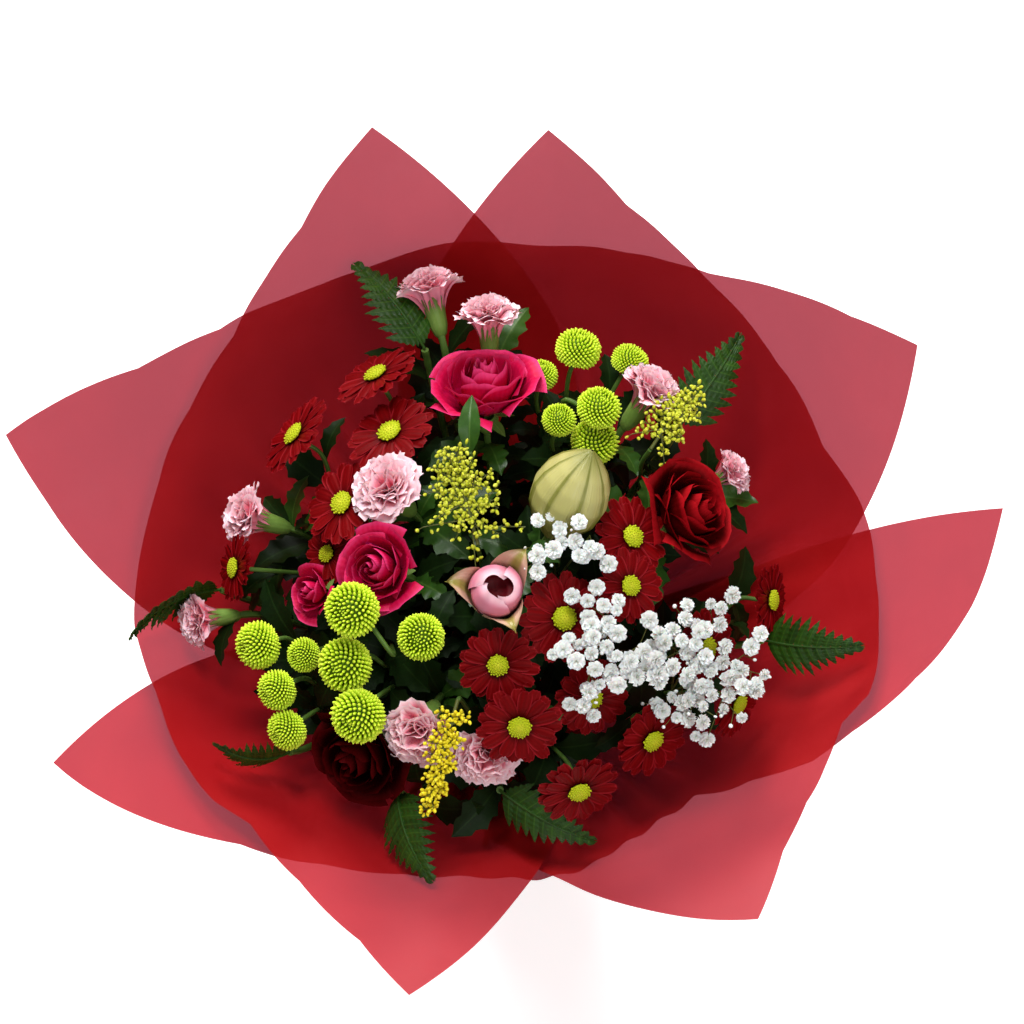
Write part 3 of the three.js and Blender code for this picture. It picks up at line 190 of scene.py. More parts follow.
def head_turn(facing, spin=0.0):
    """The turn that brings an upright bloom to its facing, spun on its stem."""
    axis = np.cross(vec(0, 0, 1), facing)
    cosine = facing[2]
    skew = np.array([[0, -axis[2], axis[1]], [axis[2], 0, -axis[0]], [-axis[1], axis[0], 0]])
    tilt = np.eye(3) + skew + skew @ skew / (1 + cosine)
    c, s = math.cos(spin), math.sin(spin)
    return tilt @ np.array([[c, -s, 0], [s, c, 0], [0, 0, 1]])


def put(rows, centre, turn):
    return np.asarray(rows) @ turn.T + centre


VIEW_RIGHT = vec(1, 0, 0)
VIEW_UP = vec(0, math.sin(VIEW_ELEVATION), math.cos(VIEW_ELEVATION))
VIEW_TOWARD = vec(0, -math.cos(VIEW_ELEVATION), math.sin(VIEW_ELEVATION))
AIM = (
    vec(0, 0, AXIS_HEIGHT)
    + VIEW_RIGHT * (PICTURE_CENTRE - AXIS_PIXEL[0]) * MM_PER_PIXEL
    + VIEW_UP * (AXIS_PIXEL[1] - PICTURE_CENTRE) * MM_PER_PIXEL
)
EYE = AIM + VIEW_TOWARD * VIEW_DISTANCE
TWIST_START = vec(0.31, 0.87, 0.37)
TIE_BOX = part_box("tie")
AXIS_SHIFT = vec(
    (TIE_BOX[0][0] + TIE_BOX[1][0]) / 2 / MM,
    (TIE_BOX[0][1] + TIE_BOX[1][1]) / 2 / MM,
    0,
)


def in_view(spot, bearing, across, up, toward):
    """A point set off from a spot in the directions of the picture."""
    aside = VIEW_RIGHT * math.cos(bearing) * across + VIEW_UP * math.sin(bearing) * up
    return spot + aside + VIEW_TOWARD * toward


# Heads: name, pixel of the centre, radius, lift toward the view, spray
HEADS = {
    "rose": [
        ("rose_pink_1", (483, 385), 32, 4, None),
        ("rose_pink_2", (378, 570), 24, 2, None),
        ("rose_pink_3", (312, 592), 16, -4, None),
        ("rose_red_1", (690, 510), 31, 8, None),
        ("rose_red_2", (360, 757), 30, -6, None),
    ],
    "carnation": [
        ("carnation_1", (428, 284), 20, 4, None),
        ("carnation_2", (488, 312), 19, 8, None),
        ("carnation_3", (655, 388), 20, 6, None),
        ("carnation_4", (385, 487), 22, 8, None),
        ("carnation_5", (243, 515), 19, 0, None),
        ("carnation_6", (195, 620), 17, 0, None),
        ("carnation_7", (418, 735), 21, 2, None),
        ("carnation_8", (486, 757), 20, -6, None),
        ("carnation_9", (735, 470), 14, -12, None),
    ],
    "lily": [
        ("lily_bud_closed", (571, 492), 23, 10, None),
        ("lily_bud_opening", (496, 592), 18, 8, None),
    ],
    "pompon": [
        ("pompon_1", (352, 610), 14, 8, 1),
        ("pompon_2", (345, 665), 14, 10, 1),
        ("pompon_3", (358, 716), 14, 14, 1),
        ("pompon_4", (421, 637), 12, 6, 1),
        ("pompon_5", (258, 645), 12.5, 0, 2),
        ("pompon_6", (277, 690), 10.5, 2, 2),
        ("pompon_7", (287, 730), 10.5, 0, 2),
        ("pompon_8", (304, 655), 9, -4, 2),
        ("pompon_9", (541, 375), 9, 0, 3),
        ("pompon_10", (578, 349), 12, 4, 3),
        ("pompon_11", (630, 361), 10, -4, 3),
        ("pompon_12", (559, 420), 9, 2, 3),
        ("pompon_13", (599, 408), 11.5, 4, 3),
        ("pompon_14", (595, 441), 12.5, -8, 3),
    ],
    "daisy": [
        ("daisy_1", (378, 378), 24, 2, 1),
        ("daisy_2", (392, 435), 25, 2, 1),
        ("daisy_3", (298, 437), 24, 2, 2),
        ("daisy_4", (345, 505), 24, 0, 2),
        ("daisy_5", (330, 555), 17, -14, 2),
        ("daisy_6", (238, 568), 19, -10, 2),
        ("daisy_7", (630, 538), 22, 0, 3),
        ("daisy_8", (628, 586), 20, 2, 3),
        ("daisy_9", (563, 618), 24, -2, 3),
        ("daisy_10", (498, 664), 21, 0, 4),
        ("daisy_11", (519, 724), 23, 4, 4),
        ("daisy_12", (578, 788), 22, 0, 4),
        ("daisy_13", (590, 697), 21, -8, 4),
        ("daisy_14", (703, 648), 23, -6, 5),
        ("daisy_15", (768, 600), 20, -4, 5),
        ("daisy_16", (650, 738), 22, -6, 5),
        ("daisy_17", (735, 702), 20, -8, 5),
    ],
}
# Buds that lean: right, up and toward the viewer in the picture
LEANING = {"lily_bud_closed": (0.36, 0.72, 0.59), "lily_bud_opening": (0.0, 0.3, 0.95)}
OPEN_LILY_SPIN = 3.02
FLATNESS = {"rose": 0.62, "carnation": 0.55, "lily": 0.9, "pompon": 0.85, "daisy": 0.26}

# How far behind a bloom's centre its stem ends, in shares of the radius
SEATS = {"rose": 0.8, "carnation": 1.0, "lily": 1.35, "pompon": 0.66, "daisy": 0}
OPEN_LILY_SEAT = 1.3
DAISY_SEAT_GAP = 5.4

# Fillers: name, pixels, and sizes
GYPSOPHILA = [
    ("gypsophila_1", (612, 655), (30, 34), 18),
    ("gypsophila_2", (705, 672), (32, 36), 18),
    ("gypsophila_3", (568, 540), (24, 17), 20),
]
SOLIDAGO = [
    ("solidago_1", (478, 545), (452, 462), 12, 19),
    ("solidago_2", (650, 450), (692, 398), 10, 13),
    ("solidago_3", (458, 700), (430, 808), 14, 9),
]
FERNS = [
    ("fern_1", (425, 350), (352, 262), -6, 46),
    ("fern_2", (678, 428), (742, 332), -8, 44),
    ("fern_3", (762, 640), (866, 646), -8, 44),
    ("fern_4", (398, 790), (434, 884), -14, 50),
    ("fern_5", (500, 790), (598, 842), -12, 40),
    ("fern_6", (222, 590), (128, 640), -10, 42),
    ("fern_7", (290, 752), (212, 742), -12, 38),
]
LEAVES = [
    ("leaf_1", (470, 452), (472, 395), 16, 11),
    ("leaf_2", (528, 552), (560, 563), 4, 12),
]

# Wrapper sheets, inner layer first: name, angles at the neck, outer edge
SHEETS = [
    ("wrap_left", (42, 318), [
        (372, 127), (302, 228), (233, 335), (190, 410), (160, 480), (142, 545), (136, 625),
        (155, 690), (180, 755), (215, 800), (250, 825), (300, 880), (360, 940), (409, 996)]),
    ("wrap_right", (-140, 142), [
        (755, 911), (780, 845), (802, 795), (820, 760), (838, 719), (863, 689), (871, 647),
        (873, 598), (865, 549), (852, 500), (818, 447), (770, 367), (700, 281), (624, 210),
        (547, 137)]),
    ("wrap_back", (-28, 212), [
        (905, 346), (836, 320), (773, 297), (700, 281), (620, 265), (560, 257), (520, 256),
        (448, 257), (362, 282), (300, 305), (233, 335), (150, 370), (60, 408), (20, 432)]),
    ("wrap_front", (-190, 18), [
        (68, 746), (120, 782), (170, 806), (250, 825), (330, 842), (410, 852), (490, 855),
        (567, 848), (630, 815), (684, 777), (735, 761), (800, 745), (838, 717), (897, 663),
        (953, 595), (983, 501)]),
]

# The film's form: its slopes below and above the bend, and the pitch of its layers
TAIL_HEIGHT = 82
FILM_TOP = 520
BEND_START = 255
BEND_LENGTH = 90
NECK_RADIUS = 17.6
SLOPE_IN = {"side": 0.96, "back": 0.86, "front": 0.94}
SLOPE_OUT = {"side": 0.62, "back": 0.30, "front": 1.47}
TAIL_SLOPE = 0.46
NECK_PITCH = 1.0
RIM_PITCH = 4.8
FILM = 0.6
TIE_ROOM = 0.75
SHEET_COLUMNS = 300
SHEET_ROWS = 70
TAIL_ROWS = 14

# Gathers of the film: the tight ones above the tie, the long pleats and the ripple of the rim
CRIMP_RISE = 80
CRIMP_SPREAD = 47
CRIMP_DEPTH = 6.8
PLEAT_DEPTH = 1.5
RIM_RIPPLE = 1.1

# The twine: turns round the neck, its strands and how far they twist from its middle
TWINE_TURNS = 4
STRAND_RADIUS = 0.5
STRAND_OFFSET = 0.38
TWINE_HALF_HEIGHT = 2.6


# Wrapper surface
def side_mix(values, phi):
    s = np.sin(phi)
    end = np.where(s > 0, values["back"], values["front"])
    return values["side"] + (end - values["side"]) * np.abs(s)


def film_radius(phi, z):
    """How far the film stands off the axis: a flared tail, the neck, and a bowl that bends outward."""
    inner = side_mix(SLOPE_IN, phi)
    outer = side_mix(SLOPE_OUT, phi)
    x = np.clip((z - BEND_START) / BEND_LENGTH, 0, 1)
    blend = BEND_LENGTH * (x ** 3 - x ** 4 / 2) + np.maximum(0, z - BEND_START - BEND_LENGTH)
    above = NECK_RADIUS + inner * (z - TIE_HEIGHT) + (outer - inner) * blend
    below = NECK_RADIUS + TAIL_SLOPE * (TIE_HEIGHT - z)
    return np.where(z < TIE_HEIGHT, below, above)


def film_point(phi, z, offset):
    """Points on the film, moved off its surface by an offset."""
    e = 0.5
    slope = (film_radius(phi, z + e) - film_radius(phi, z - e)) / (2 * e)
    slope = np.where(np.abs(z - TIE_HEIGHT) < 1, 0, slope)
    length = np.hypot(1, slope)
    return around(film_radius(phi, z) + offset / length, phi, z - slope * offset / length)


# Placement on the dome of flowers
def view_ray(pixel):
    spot = (
        AIM
        + VIEW_RIGHT * (pixel[0] - PICTURE_CENTRE) * MM_PER_PIXEL
        + VIEW_UP * (PICTURE_CENTRE - pixel[1]) * MM_PER_PIXEL
    )
    return unit(spot - EYE)


def dome_height(x, y):
    """The height of the dome that the blooms lie on."""
    back = np.where(y > 0, BACK_DROP * (y / DOME_BACK) ** 2, FRONT_DROP * (y / DOME_FRONT) ** 2)
    return CROWN_HEIGHT - SIDE_DROP * (x / DOME_HALF_WIDTH) ** 2 - back


def turning_point(low, high, is_past, halvings):
    """Where a test turns true, between a value that fails and one that passes."""
    for _ in range(halvings):
        middle = (low + high) / 2
        if is_past(middle):
            high = middle
        else:
            low = middle
    return high


def first_hit(ray, is_inside):
    """How far from the eye a ray first goes inside."""
    def is_past(distance):
        return is_inside(EYE + ray * distance)

    near = far = NEAREST_HIT
    while far < FARTHEST_HIT and not is_past(far):
        near = far
        far += 4
    return turning_point(near, far, is_past, 24)


def on_dome(pixel, lift):
    ray = view_ray(pixel)
    distance = first_hit(ray, lambda p: p[2] < dome_height(p[0], p[1]))
    return EYE + ray * (distance - lift)


def outward(point, lean=1.0):
    """The way a bloom faces at a point: up in the middle, leaning out toward the sides."""
    radial = math.hypot(point[0], point[1])
    tilt = min(1.25, lean * 1.15 * (radial / 150) ** 1.1)
    flat = unit(vec(point[0], point[1], 0))
    return flat * math.sin(tilt) + vec(0, 0, math.cos(tilt))


def is_inside_film(points, clearance=FILM_CLEARANCE):
    """True when a point, or every point of a list, is inside the film."""
    x, y, z = np.moveaxis(np.asarray(points, dtype=float), -1, 0)
    return bool(np.all(np.hypot(x, y) < film_radius(np.arctan2(y, x), z) - clearance))


def inside_film(point):
    """A point past the film is raised toward the viewer until it is inside."""
    if is_inside_film(point):
        return point
    rise = turning_point(0.0, 120.0, lambda rise: is_inside_film(point + VIEW_TOWARD * rise), 32)
    return point + VIEW_TOWARD * rise


class Head:
    """One bloom: its place on the dome, its size and the way it faces."""

    def __init__(self, kind, name, pixel, radius, lift, spray):
        self.kind = kind
        self.name = name
        self.radius = radius
        self.spray = spray
        self.ray = view_ray(pixel)
        self.centre = on_dome(pixel, lift)
        self.depth = radius * FLATNESS[kind]

    def face(self, index):
        """Turns the bloom outward, or the way it leans, once its place is settled."""
        self.index = index
        self.facing = outward(self.centre)
        if self.name in LEANING:
            right, up, toward = LEANING[self.name]
            self.facing = unit(VIEW_RIGHT * right + VIEW_UP * up + VIEW_TOWARD * toward)
        spin = OPEN_LILY_SPIN if self.name == "lily_bud_opening" else index * HEAD_SPIN
        self.turn = head_turn(self.facing, spin)

    def place(self, points):
        return put(points, self.centre, self.turn)


def separate(a, b):
    """Moves two blooms apart along the view until the nearer clears the one behind."""
    gap = b.centre - a.centre
    along = float(gap @ VIEW_TOWARD)
    across = math.sqrt(max(0, float(gap @ gap) - along * along))
    reach = a.radius + b.radius
    if across >= reach:
        return
    need = (a.depth + b.depth) * math.sqrt(1 - (across / reach) ** 2) + 1
    lack = need - abs(along)
    if lack <= 0:
        return
    step = min(lack / 2, 1.5) * (1 if along >= 0 else -1)
    a.centre = a.centre + a.ray * step * 0.5
    b.centre = b.centre - b.ray * step * 0.5


def lay_out_heads():
    heads = [Head(kind, *item) for kind, items in HEADS.items() for item in items]
    for _ in range(SETTLING_ROUNDS):
        for i, a in enumerate(heads):
            for b in heads[i + 1:]:
                separate(a, b)
    for index, head in enumerate(heads):
        head.face(index)
    return heads


heads = lay_out_heads()
head_centres = np.array([head.centre for head in heads])
head_facings = np.array([head.facing for head in heads])
head_widths = np.array([head.radius + BLOOM_ROOM for head in heads])
head_depths = np.array([head.depth + BLOOM_ROOM_BELOW for head in heads])


def meets_head(spots):
    """True when any of the spots lies in the room round a bloom."""
    away = spots[:, None] - head_centres
    rise = np.einsum("ijk,jk->ij", away, head_facings)
    lateral = np.linalg.norm(away - rise[..., None] * head_facings, axis=2)
    return bool(np.any((lateral / head_widths) ** 2 + (rise / head_depths) ** 2 < 1))


# Smooth paths
def smooth_path(points, count):
    """Points along a centripetal spline through the given ones."""
    points = [np.asarray(p, dtype=float) for p in points]
    first = points[0] * 2 - points[1]
    last = points[-1] * 2 - points[-2]
    chain = [first, *points, last]
    spans = len(points) - 1
    out = []
    for k in range(count):
        t = min(k / (count - 1) * spans, spans - 1e-9)
        i = int(t)
        out.append(spline_point(chain[i:i + 4], t - i))
    return np.array(out)


def spline_point(four, t):
    p0, p1, p2, p3 = four
    d0, d1, d2 = (max(np.linalg.norm(b - a) ** 0.5, 1e-4) for a, b in zip(four[:3], four[1:]))
    m1 = ((p1 - p0) / d0 - (p2 - p0) / (d0 + d1) + (p2 - p1) / d1) * d1
    m2 = ((p2 - p1) / d1 - (p3 - p1) / (d1 + d2) + (p3 - p2) / d2) * d1
    a = 2 * p1 - 2 * p2 + m1 + m2
    b = -3 * p1 + 3 * p2 - 2 * m1 - m2
    return ((a * t + b) * t + m1) * t + p1


# Stems: the same routes as the solids have
def pulled_in(spot, pull, drop):
    """A place below a spot and nearer the middle of the bunch, where twigs part."""
    return vec(spot[0] * pull, spot[1] * pull, spot[2] - drop)


def under_head(head):
    length = OPEN_LILY_SEAT if head.name == "lily_bud_opening" else SEATS[head.kind]
    back = head.radius * length + (DAISY_SEAT_GAP if head.kind == "daisy" else SEAT_GAP)
    return head.centre - head.facing * back


def bundle_places(ends):
    """Where each stem passes through the tie, packed side by side."""
    pitch = 2 * STEM_RADIUS + BUNDLE_GAP
    places = [np.array(end[:2]) * 0.075 for end in ends]
    for _ in range(400):
        for i in range(len(places)):
            places[i] = places[i] * 0.992
            for j in range(i + 1, len(places)):
                gap = places[j] - places[i]
                distance = max(float(np.hypot(*gap)), 1e-3)
                if distance >= pitch:
                    continue
                step = gap * ((pitch - distance) / distance / 2)
                places[i] = places[i] - step
                places[j] = places[j] + step
    return places


def stem_path(place, target, facing, spread):
    """A stem from its foot, spiralled through the tie and up to its bloom."""

    def low(height):
        wide = 1 + (FOOT_RADIUS / spread - 1) * abs(TIE_HEIGHT - height) / TIE_HEIGHT
        turn = SPIRAL * (height - TIE_HEIGHT) / TIE_HEIGHT
        x, y = place * wide
        return vec(x * math.cos(turn) - y * math.sin(turn), x * math.sin(turn) + y * math.cos(turn), height)

    foot = low(FOOT_START)
    tie = low(TIE_HEIGHT)
    share = 0.45
    neck = target - facing * 16
    middle = lerp(tie, neck, share * 0.92)
    lower = vec(middle[0], middle[1], TIE_HEIGHT + (target[2] - TIE_HEIGHT) * share)
    return [foot, tie, lower, lerp(lower, neck, 0.6), neck, target]


def push_away(spot, head):
    away = spot - head.centre
    rise = float(away @ head.facing)
    away = away - head.facing * rise
    wide = head.radius + BLOOM_ROOM
    lateral = max(float(np.linalg.norm(away)), 0.5)
    if (lateral / wide) ** 2 + (rise / (head.depth + BLOOM_ROOM_BELOW)) ** 2 >= 1:
        return None
    return away * ((wide - lateral) / lateral / 2)


def clear_path(path, members, free):
    """Bends the free points of a path until it passes every bloom that isn't its own."""
    others = [head for head in heads if head not in members]
    path = [np.array(p) for p in path]
    for _ in range(60):
        route = smooth_path(path, 41)
        moved = False
        for k in range(1, 40):
            for head in others:
                if np.abs(route[k] - head.centre).max() > 40:
                    continue
                push = push_away(route[k], head)
                if push is None:
                    continue
                for index in free:
                    weight = max(0, 1 - abs(k / 40 * (len(path) - 1) - index))
                    path[index] = path[index] + push * weight * 0.6
                    moved = moved or weight > 0
        if not moved:
            break
    return path


def sprays():
    groups = {}
    for head in heads:
        key = f"{head.kind}_{head.spray}" if head.spray else head.name
        groups.setdefault(key, []).append(head)
    return groups


def filler_starts():
    starts = {}
    for item in [*SOLIDAGO, *FERNS, *LEAVES]:
        starts[item[0]] = inside_film(on_dome(item[1], item[3] - 10))
    for name, pixel, _, lift in GYPSOPHILA:
        middle = on_dome(pixel, lift)
        starts[name] = pulled_in(middle, GYPSOPHILA_PULL, GYPSOPHILA_DROP)
    return starts


starts = filler_starts()


def stem_targets():
    targets = []
    for key, members in sprays().items():
        bases = [under_head(head) for head in members]
        if len(members) == 1:
            targets.append((key, members, bases[0], members[0].facing))
        else:
            end = pulled_in(sum(bases) / len(bases), FORK_PULL, FORK_DROP)
            targets.append((key, members, end, outward(end, 0.5)))
    for item in FERNS:
        start = starts[item[0]]
        targets.append((item[0], [], start, outward(start, 0.5)))
    return targets


targets = stem_targets()
places = bundle_places([target[2] for target in targets])
bundle_radius = max(float(np.hypot(*place)) for place in places)
stem_routes = [
    clear_path(stem_path(place, end, facing, bundle_radius), members, [2, 3, 4])
    for place, (_, members, end, facing) in zip(places, targets)
]


def twig_route(start, end, head):
    bend = end - head.facing * 12
    return clear_path([start, lerp(start, bend, 0.5), bend, end], [head], [1, 2])


def spray_twig(end, head):
    return twig_route(end, under_head(head), head)


def raised(point, radius):
    return point + outward(point, 0.5) * (SEAT_GAP + 0.7 * radius)


def pompon_twig(end, head):
    return twig_route(raised(end, 1.4), head.centre - head.facing * head.radius * 0.5, head)


def gypsophila_twig(start, spot):
    return [raised(start, 0.75), lerp(start, spot, 0.55), spot]


def side_shoot_route(start):
    height = TIE_HEIGHT + (start[2] - TIE_HEIGHT) * 0.6
    spots = []
    for route in stem_routes:
        line = smooth_path(route, 60)
        spots.append(line[int(np.abs(line[:, 2] - height).argmin())])
    origin = min(spots, key=lambda spot: np.linalg.norm(spot - start))
    neck = start - outward(start, 0.5) * 14
    return clear_path([origin, lerp(origin, neck, 0.5), neck, start], [], [1, 2])


class SeededDraw:
    """The solids' own random draw, so twigs fork in the same places."""

    def __init__(self, seed):
        self.state = seed

    def __call__(self):
        self.state = (self.state * 1664525 + 1013904223) % 4294967296
        return self.state / 4294967296


def gypsophila_forks(item, draw):
    _, pixel, spread, lift = item
    middle = on_dome(pixel, lift)
    forks = []
    for k in range(5):
        angle = 2 * math.pi * k / 5 + draw()
        forks.append(in_view(middle, angle, spread[0] * 0.5, spread[1] * 0.5, -14))
    return forks


def solidago_path(item):
    name, _, tip_pixel, lift, _ = item
    tip = on_dome(tip_pixel, lift + 4)
    middle = lerp(starts[name], tip, 0.5) + vec(0, 0, 7)
    return [raised(starts[name], 1.2), middle, tip]


def filler_lines():
    """Points along every twig and blade that the stem leaves keep clear of."""
    points = []
    reaches = []

    def add(path, radius):
        points.append(smooth_path(path, 25))
        reaches.append(np.full(25, float(radius)))

    for key, members, end, _ in targets:
        if key.startswith("pompon"):
            for head in members:
                add(pompon_twig(end, head), 1.4)
    for index, item in enumerate(GYPSOPHILA):
        for spot in gypsophila_forks(item, SeededDraw(GYPSOPHILA_SEED + index)):
            add(gypsophila_twig(starts[item[0]], spot), 0.75)
    for item in SOLIDAGO:
        add(solidago_path(item), item[4] * 0.7)
    for name, _, tip_pixel, lift, width in [*FERNS, *LEAVES]:
        start = raised(starts[name], BLADE_SEAT)
        tip = on_dome(tip_pixel, lift)
        add([start, lerp(start, tip, 0.5), tip], width * 0.5)
    return np.concatenate(points), np.concatenate(reaches)


class Blade:
    """A leaf's own directions: along it, to its side, and the way that it faces."""

    def __init__(self, root, tip):
        self.root = root
        along = tip - root
        self.length = float(np.linalg.norm(along))
        self.along = along / self.length
        self.side = unit(np.cross(self.along, outward(lerp(root, tip, 0.5), 0.8)))
        self.normal = unit(np.cross(self.side, self.along))

    def rows(self, x, y, lift):
        x, y, lift = (values[..., None] for values in np.broadcast_arrays(x, y, lift))
        return self.root + y * self.along + x * self.side + lift * self.normal


class StemLeaf(Blade):
    def __init__(self, root, tip):
        super().__init__(root, tip)
        self.width = self.length * LEAF_WIDTH

    def outline(self):
        y, side = np.meshgrid(np.arange(1, 9) / 8 * self.length, [-0.5, 0.0, 0.5], indexing="ij")
        return self.rows(side * self.width, y, arch(LEAF_ARCH, y / self.length)).reshape(-1, 3)


def leaf_toward(pixel, spots):
    """A leaf that reaches from the nearest stem toward a gap between the blooms."""
    gap = on_dome(pixel, -LEAF_DEPTH)
    below = spots[spots[:, 2] < gap[2] - 2]
    distances = np.linalg.norm(below - gap, axis=1)
    reach = float(distances.min())
    if not LEAF_REACH[0] <= reach <= LEAF_REACH[1]:
        return None
    root = below[int(distances.argmin())]
    return StemLeaf(root, gap + unit(gap - root) * LEAF_OVERRUN)


def leaf_is_free(leaf, lines, reaches):
    spots = leaf.outline()
    if not is_inside_film(spots) or meets_head(spots):
        return False
    gaps = np.linalg.norm(lines[None] - spots[:, None], axis=2)
    return not np.any(gaps < reaches + LEAF_CLEARANCE)


def stem_leaves():
    routes = [smooth_path(route, 61) for route in stem_routes]
    spots = np.concatenate([route[route[:, 2] > TIE_HEIGHT + LEAF_START] for route in routes])
    lines, reaches = filler_lines()
    leaves = []
    step = LEAF_ROWS["step"]
    for row, y in enumerate(range(LEAF_ROWS["top"], LEAF_ROWS["bottom"] + 1, step)):
        x = LEAF_ROWS["left"] + (row % 2) * step * 0.5
        while x <= LEAF_ROWS["right"]:
            leaf = leaf_toward((x, y), spots)
            if leaf and leaf_is_free(leaf, lines, reaches):
                leaves.append(leaf)
            x += step
    return leaves


def leafy_routes():
    """The stems, and the twigs of the sprays, that carry the undergrowth."""
    routes = [smooth_path(route, 90) for route in stem_routes]
    for _, members, end, _ in targets:
        if len(members) > 1:
            routes += [smooth_path(spray_twig(end, head), 40) for head in members]
    return routes


def underleaf(route, index, turn, length):
    tangent = unit(route[index] - route[index - 1])
    side = unit(np.cross(tangent, TWIST_START))
    away = side * math.cos(turn) + np.cross(tangent, side) * math.sin(turn)
    return StemLeaf(route[index], route[index] + unit(away + tangent * 0.5) * length)


def undergrowth():
    rng = random.Random(88)
    leaves = []
    for route in leafy_routes():
        walked = rng.uniform(0, UNDERLEAF_PITCH)
        turn = rng.uniform(0, 6)
        for index in range(1, len(route)):
            walked += float(np.linalg.norm(route[index] - route[index - 1]))
            if walked < UNDERLEAF_PITCH or route[index][2] < UNDERLEAF_BOTTOM:
                continue
            walked = 0
            turn += GOLDEN_ANGLE
            leaf = underleaf(route, index, turn, rng.uniform(*UNDERLEAF_LENGTH))
            spots = leaf.outline()
            too_high = np.any(spots[:, 2] > dome_height(spots[:, 0], spots[:, 1]) - UNDERLEAF_DROP)
            if not too_high and is_inside_film(spots, 5) and not meets_head(spots):
                leaves.append(leaf)
    return leaves


# Meshes are gathered as grids of points that know where they lie on their petal
class Shape:
    def __init__(self):
        self.points = []
        self.faces = []
        self.marks = {"along": [], "across": [], "tone_and_shade": []}
        self.count = 0

    def grid(self, rows, tone_and_shade=0.5, along=None, across=None, ring=False):
        rows = np.asarray(rows, dtype=float)
        height, width = rows.shape[:2]
        if along is None:
            along = np.linspace(0, 1, height)[:, None]
        if across is None:
            across = np.linspace(-1, 1, width)
        start = self.count
        self.points.append(rows.reshape(-1, 3))
        for mark, values in (("along", along), ("across", across), ("tone_and_shade", float(tone_and_shade))):
            self.marks[mark].append(np.broadcast_to(values, (height, width)).ravel())
        self.count += height * width
        index = start + np.arange(height * width).reshape(height, width)
        if ring:
            index = np.concatenate([index, index[:, :1]], axis=1)
        quads = np.stack([index[:-1, :-1], index[:-1, 1:], index[1:, 1:], index[1:, :-1]], axis=-1)
        self.faces.append(quads.reshape(-1, 4))

    def on(self, head, rows, tone_and_shade=0.5, **settings):
        """A grid that is given in the directions of a flower head."""
        self.grid(head.place(rows), tone_and_shade, **settings)

    def cap(self, ring_points, tone_and_shade, along):
        """Closes a ring with a fan of thin quads to its middle."""
        middle = np.broadcast_to(ring_points.mean(axis=0), ring_points.shape)
        rings = [ring_points, lerp(ring_points, middle, 0.5), lerp(ring_points, middle, 0.999)]
        self.grid(rings, tone_and_shade, along, ring=True)

    def piece(self, name, finish, node):
        points = (np.concatenate(self.points) + AXIS_SHIFT) * MM
        points[:, 2] = np.maximum(points[:, 2], 0.0)
        mesh = bpy.data.meshes.new(name)
        mesh.from_pydata(points.tolist(), [], np.concatenate(self.faces).tolist())
        for mark, values in self.marks.items():
            layer = mesh.attributes.new(mark, "FLOAT", "POINT")
            layer.data.foreach_set("value", np.concatenate(values).astype(np.float32))
        mesh.polygons.foreach_set("use_smooth", [True] * len(mesh.polygons))
        mesh.materials.append(FINISHES[finish])
        mesh.validate()
        mesh.update()
        thing = bpy.data.objects.new(name, mesh)
        bpy.context.scene.collection.objects.link(thing)
        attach(thing, "root")
        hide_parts(node)
        return thing


def tube(shape, route, radii, sides=8, tone_and_shade=0.5):
    """A round stem along a route, with a radius for each station."""
    route = np.asarray(route)
    radii = np.broadcast_to(radii, (len(route),))
    tangents = np.gradient(route, axis=0)
    tangents /= np.maximum(np.linalg.norm(tangents, axis=1, keepdims=True), 1e-9)
    side = unit(np.cross(tangents[0], TWIST_START))
    rings = []
    angles = full_turn(sides)[:, None]
    for spot, tangent, radius in zip(route, tangents, radii):
        side = unit(side - tangent * float(side @ tangent))
        other = np.cross(tangent, side)
        rings.append(spot + radius * (np.cos(angles) * side + np.sin(angles) * other))
    shape.grid(rings, tone_and_shade, ring=True)
    shape.cap(rings[0], tone_and_shade, 0.0)
    shape.cap(rings[-1], tone_and_shade, 1.0)


def turned(profile, sides, ribs=0, depth=0.0):
    """Rows of a turned form, from (radius, height) pairs, with shallow ribs."""
    angles = full_turn(sides)
    rib = 1 + depth * np.cos(angles * ribs)
    return np.array([around(r * rib, angles, z) for r, z in profile])


def bead(shape, centre, axis, radius, length, tone_and_shade, sides=6, rings=4):
    """A small bud or floret bump, longer along its axis."""
    polar = np.linspace(0.02, math.pi - 0.02, rings + 1)
    profile = [(radius * math.sin(p), -length * math.cos(p)) for p in polar]
    shape.grid(put(turned(profile, sides), centre, head_turn(unit(axis))), tone_and_shade, ring=True)


# Shader maths
class Value:
    """A socket that can be used in ordinary arithmetic."""

    def __init__(self, finish, socket):
        self.finish = finish
        self.socket = socket

    def apply(self, operation, *others):
        return self.finish.maths(operation, self, *others)

    def __add__(self, other):
        return self.apply("ADD", other)

    def __sub__(self, other):
        return self.apply("SUBTRACT", other)

    def __mul__(self, other):
        return self.apply("MULTIPLY", other)

    def __rsub__(self, other):
        return self.finish.maths("SUBTRACT", other, self)

    __radd__ = __add__

    def sine(self):
        return self.apply("SINE")

    def wave(self):
        """The sine, brought between 0 and 1."""
        return self.sine() * 0.5 + 0.5

    def size(self):
        return self.apply("ABSOLUTE")

    def clamp(self, low=0.0, high=1.0):
        return self.apply("MAXIMUM", low).apply("MINIMUM", high)

    def ramp(self, low, high):
        inputs = {"Value": self, "From Min": low, "From Max": high}
        return self.finish.node("ShaderNodeMapRange", {"interpolation_type": "SMOOTHSTEP"}, inputs)


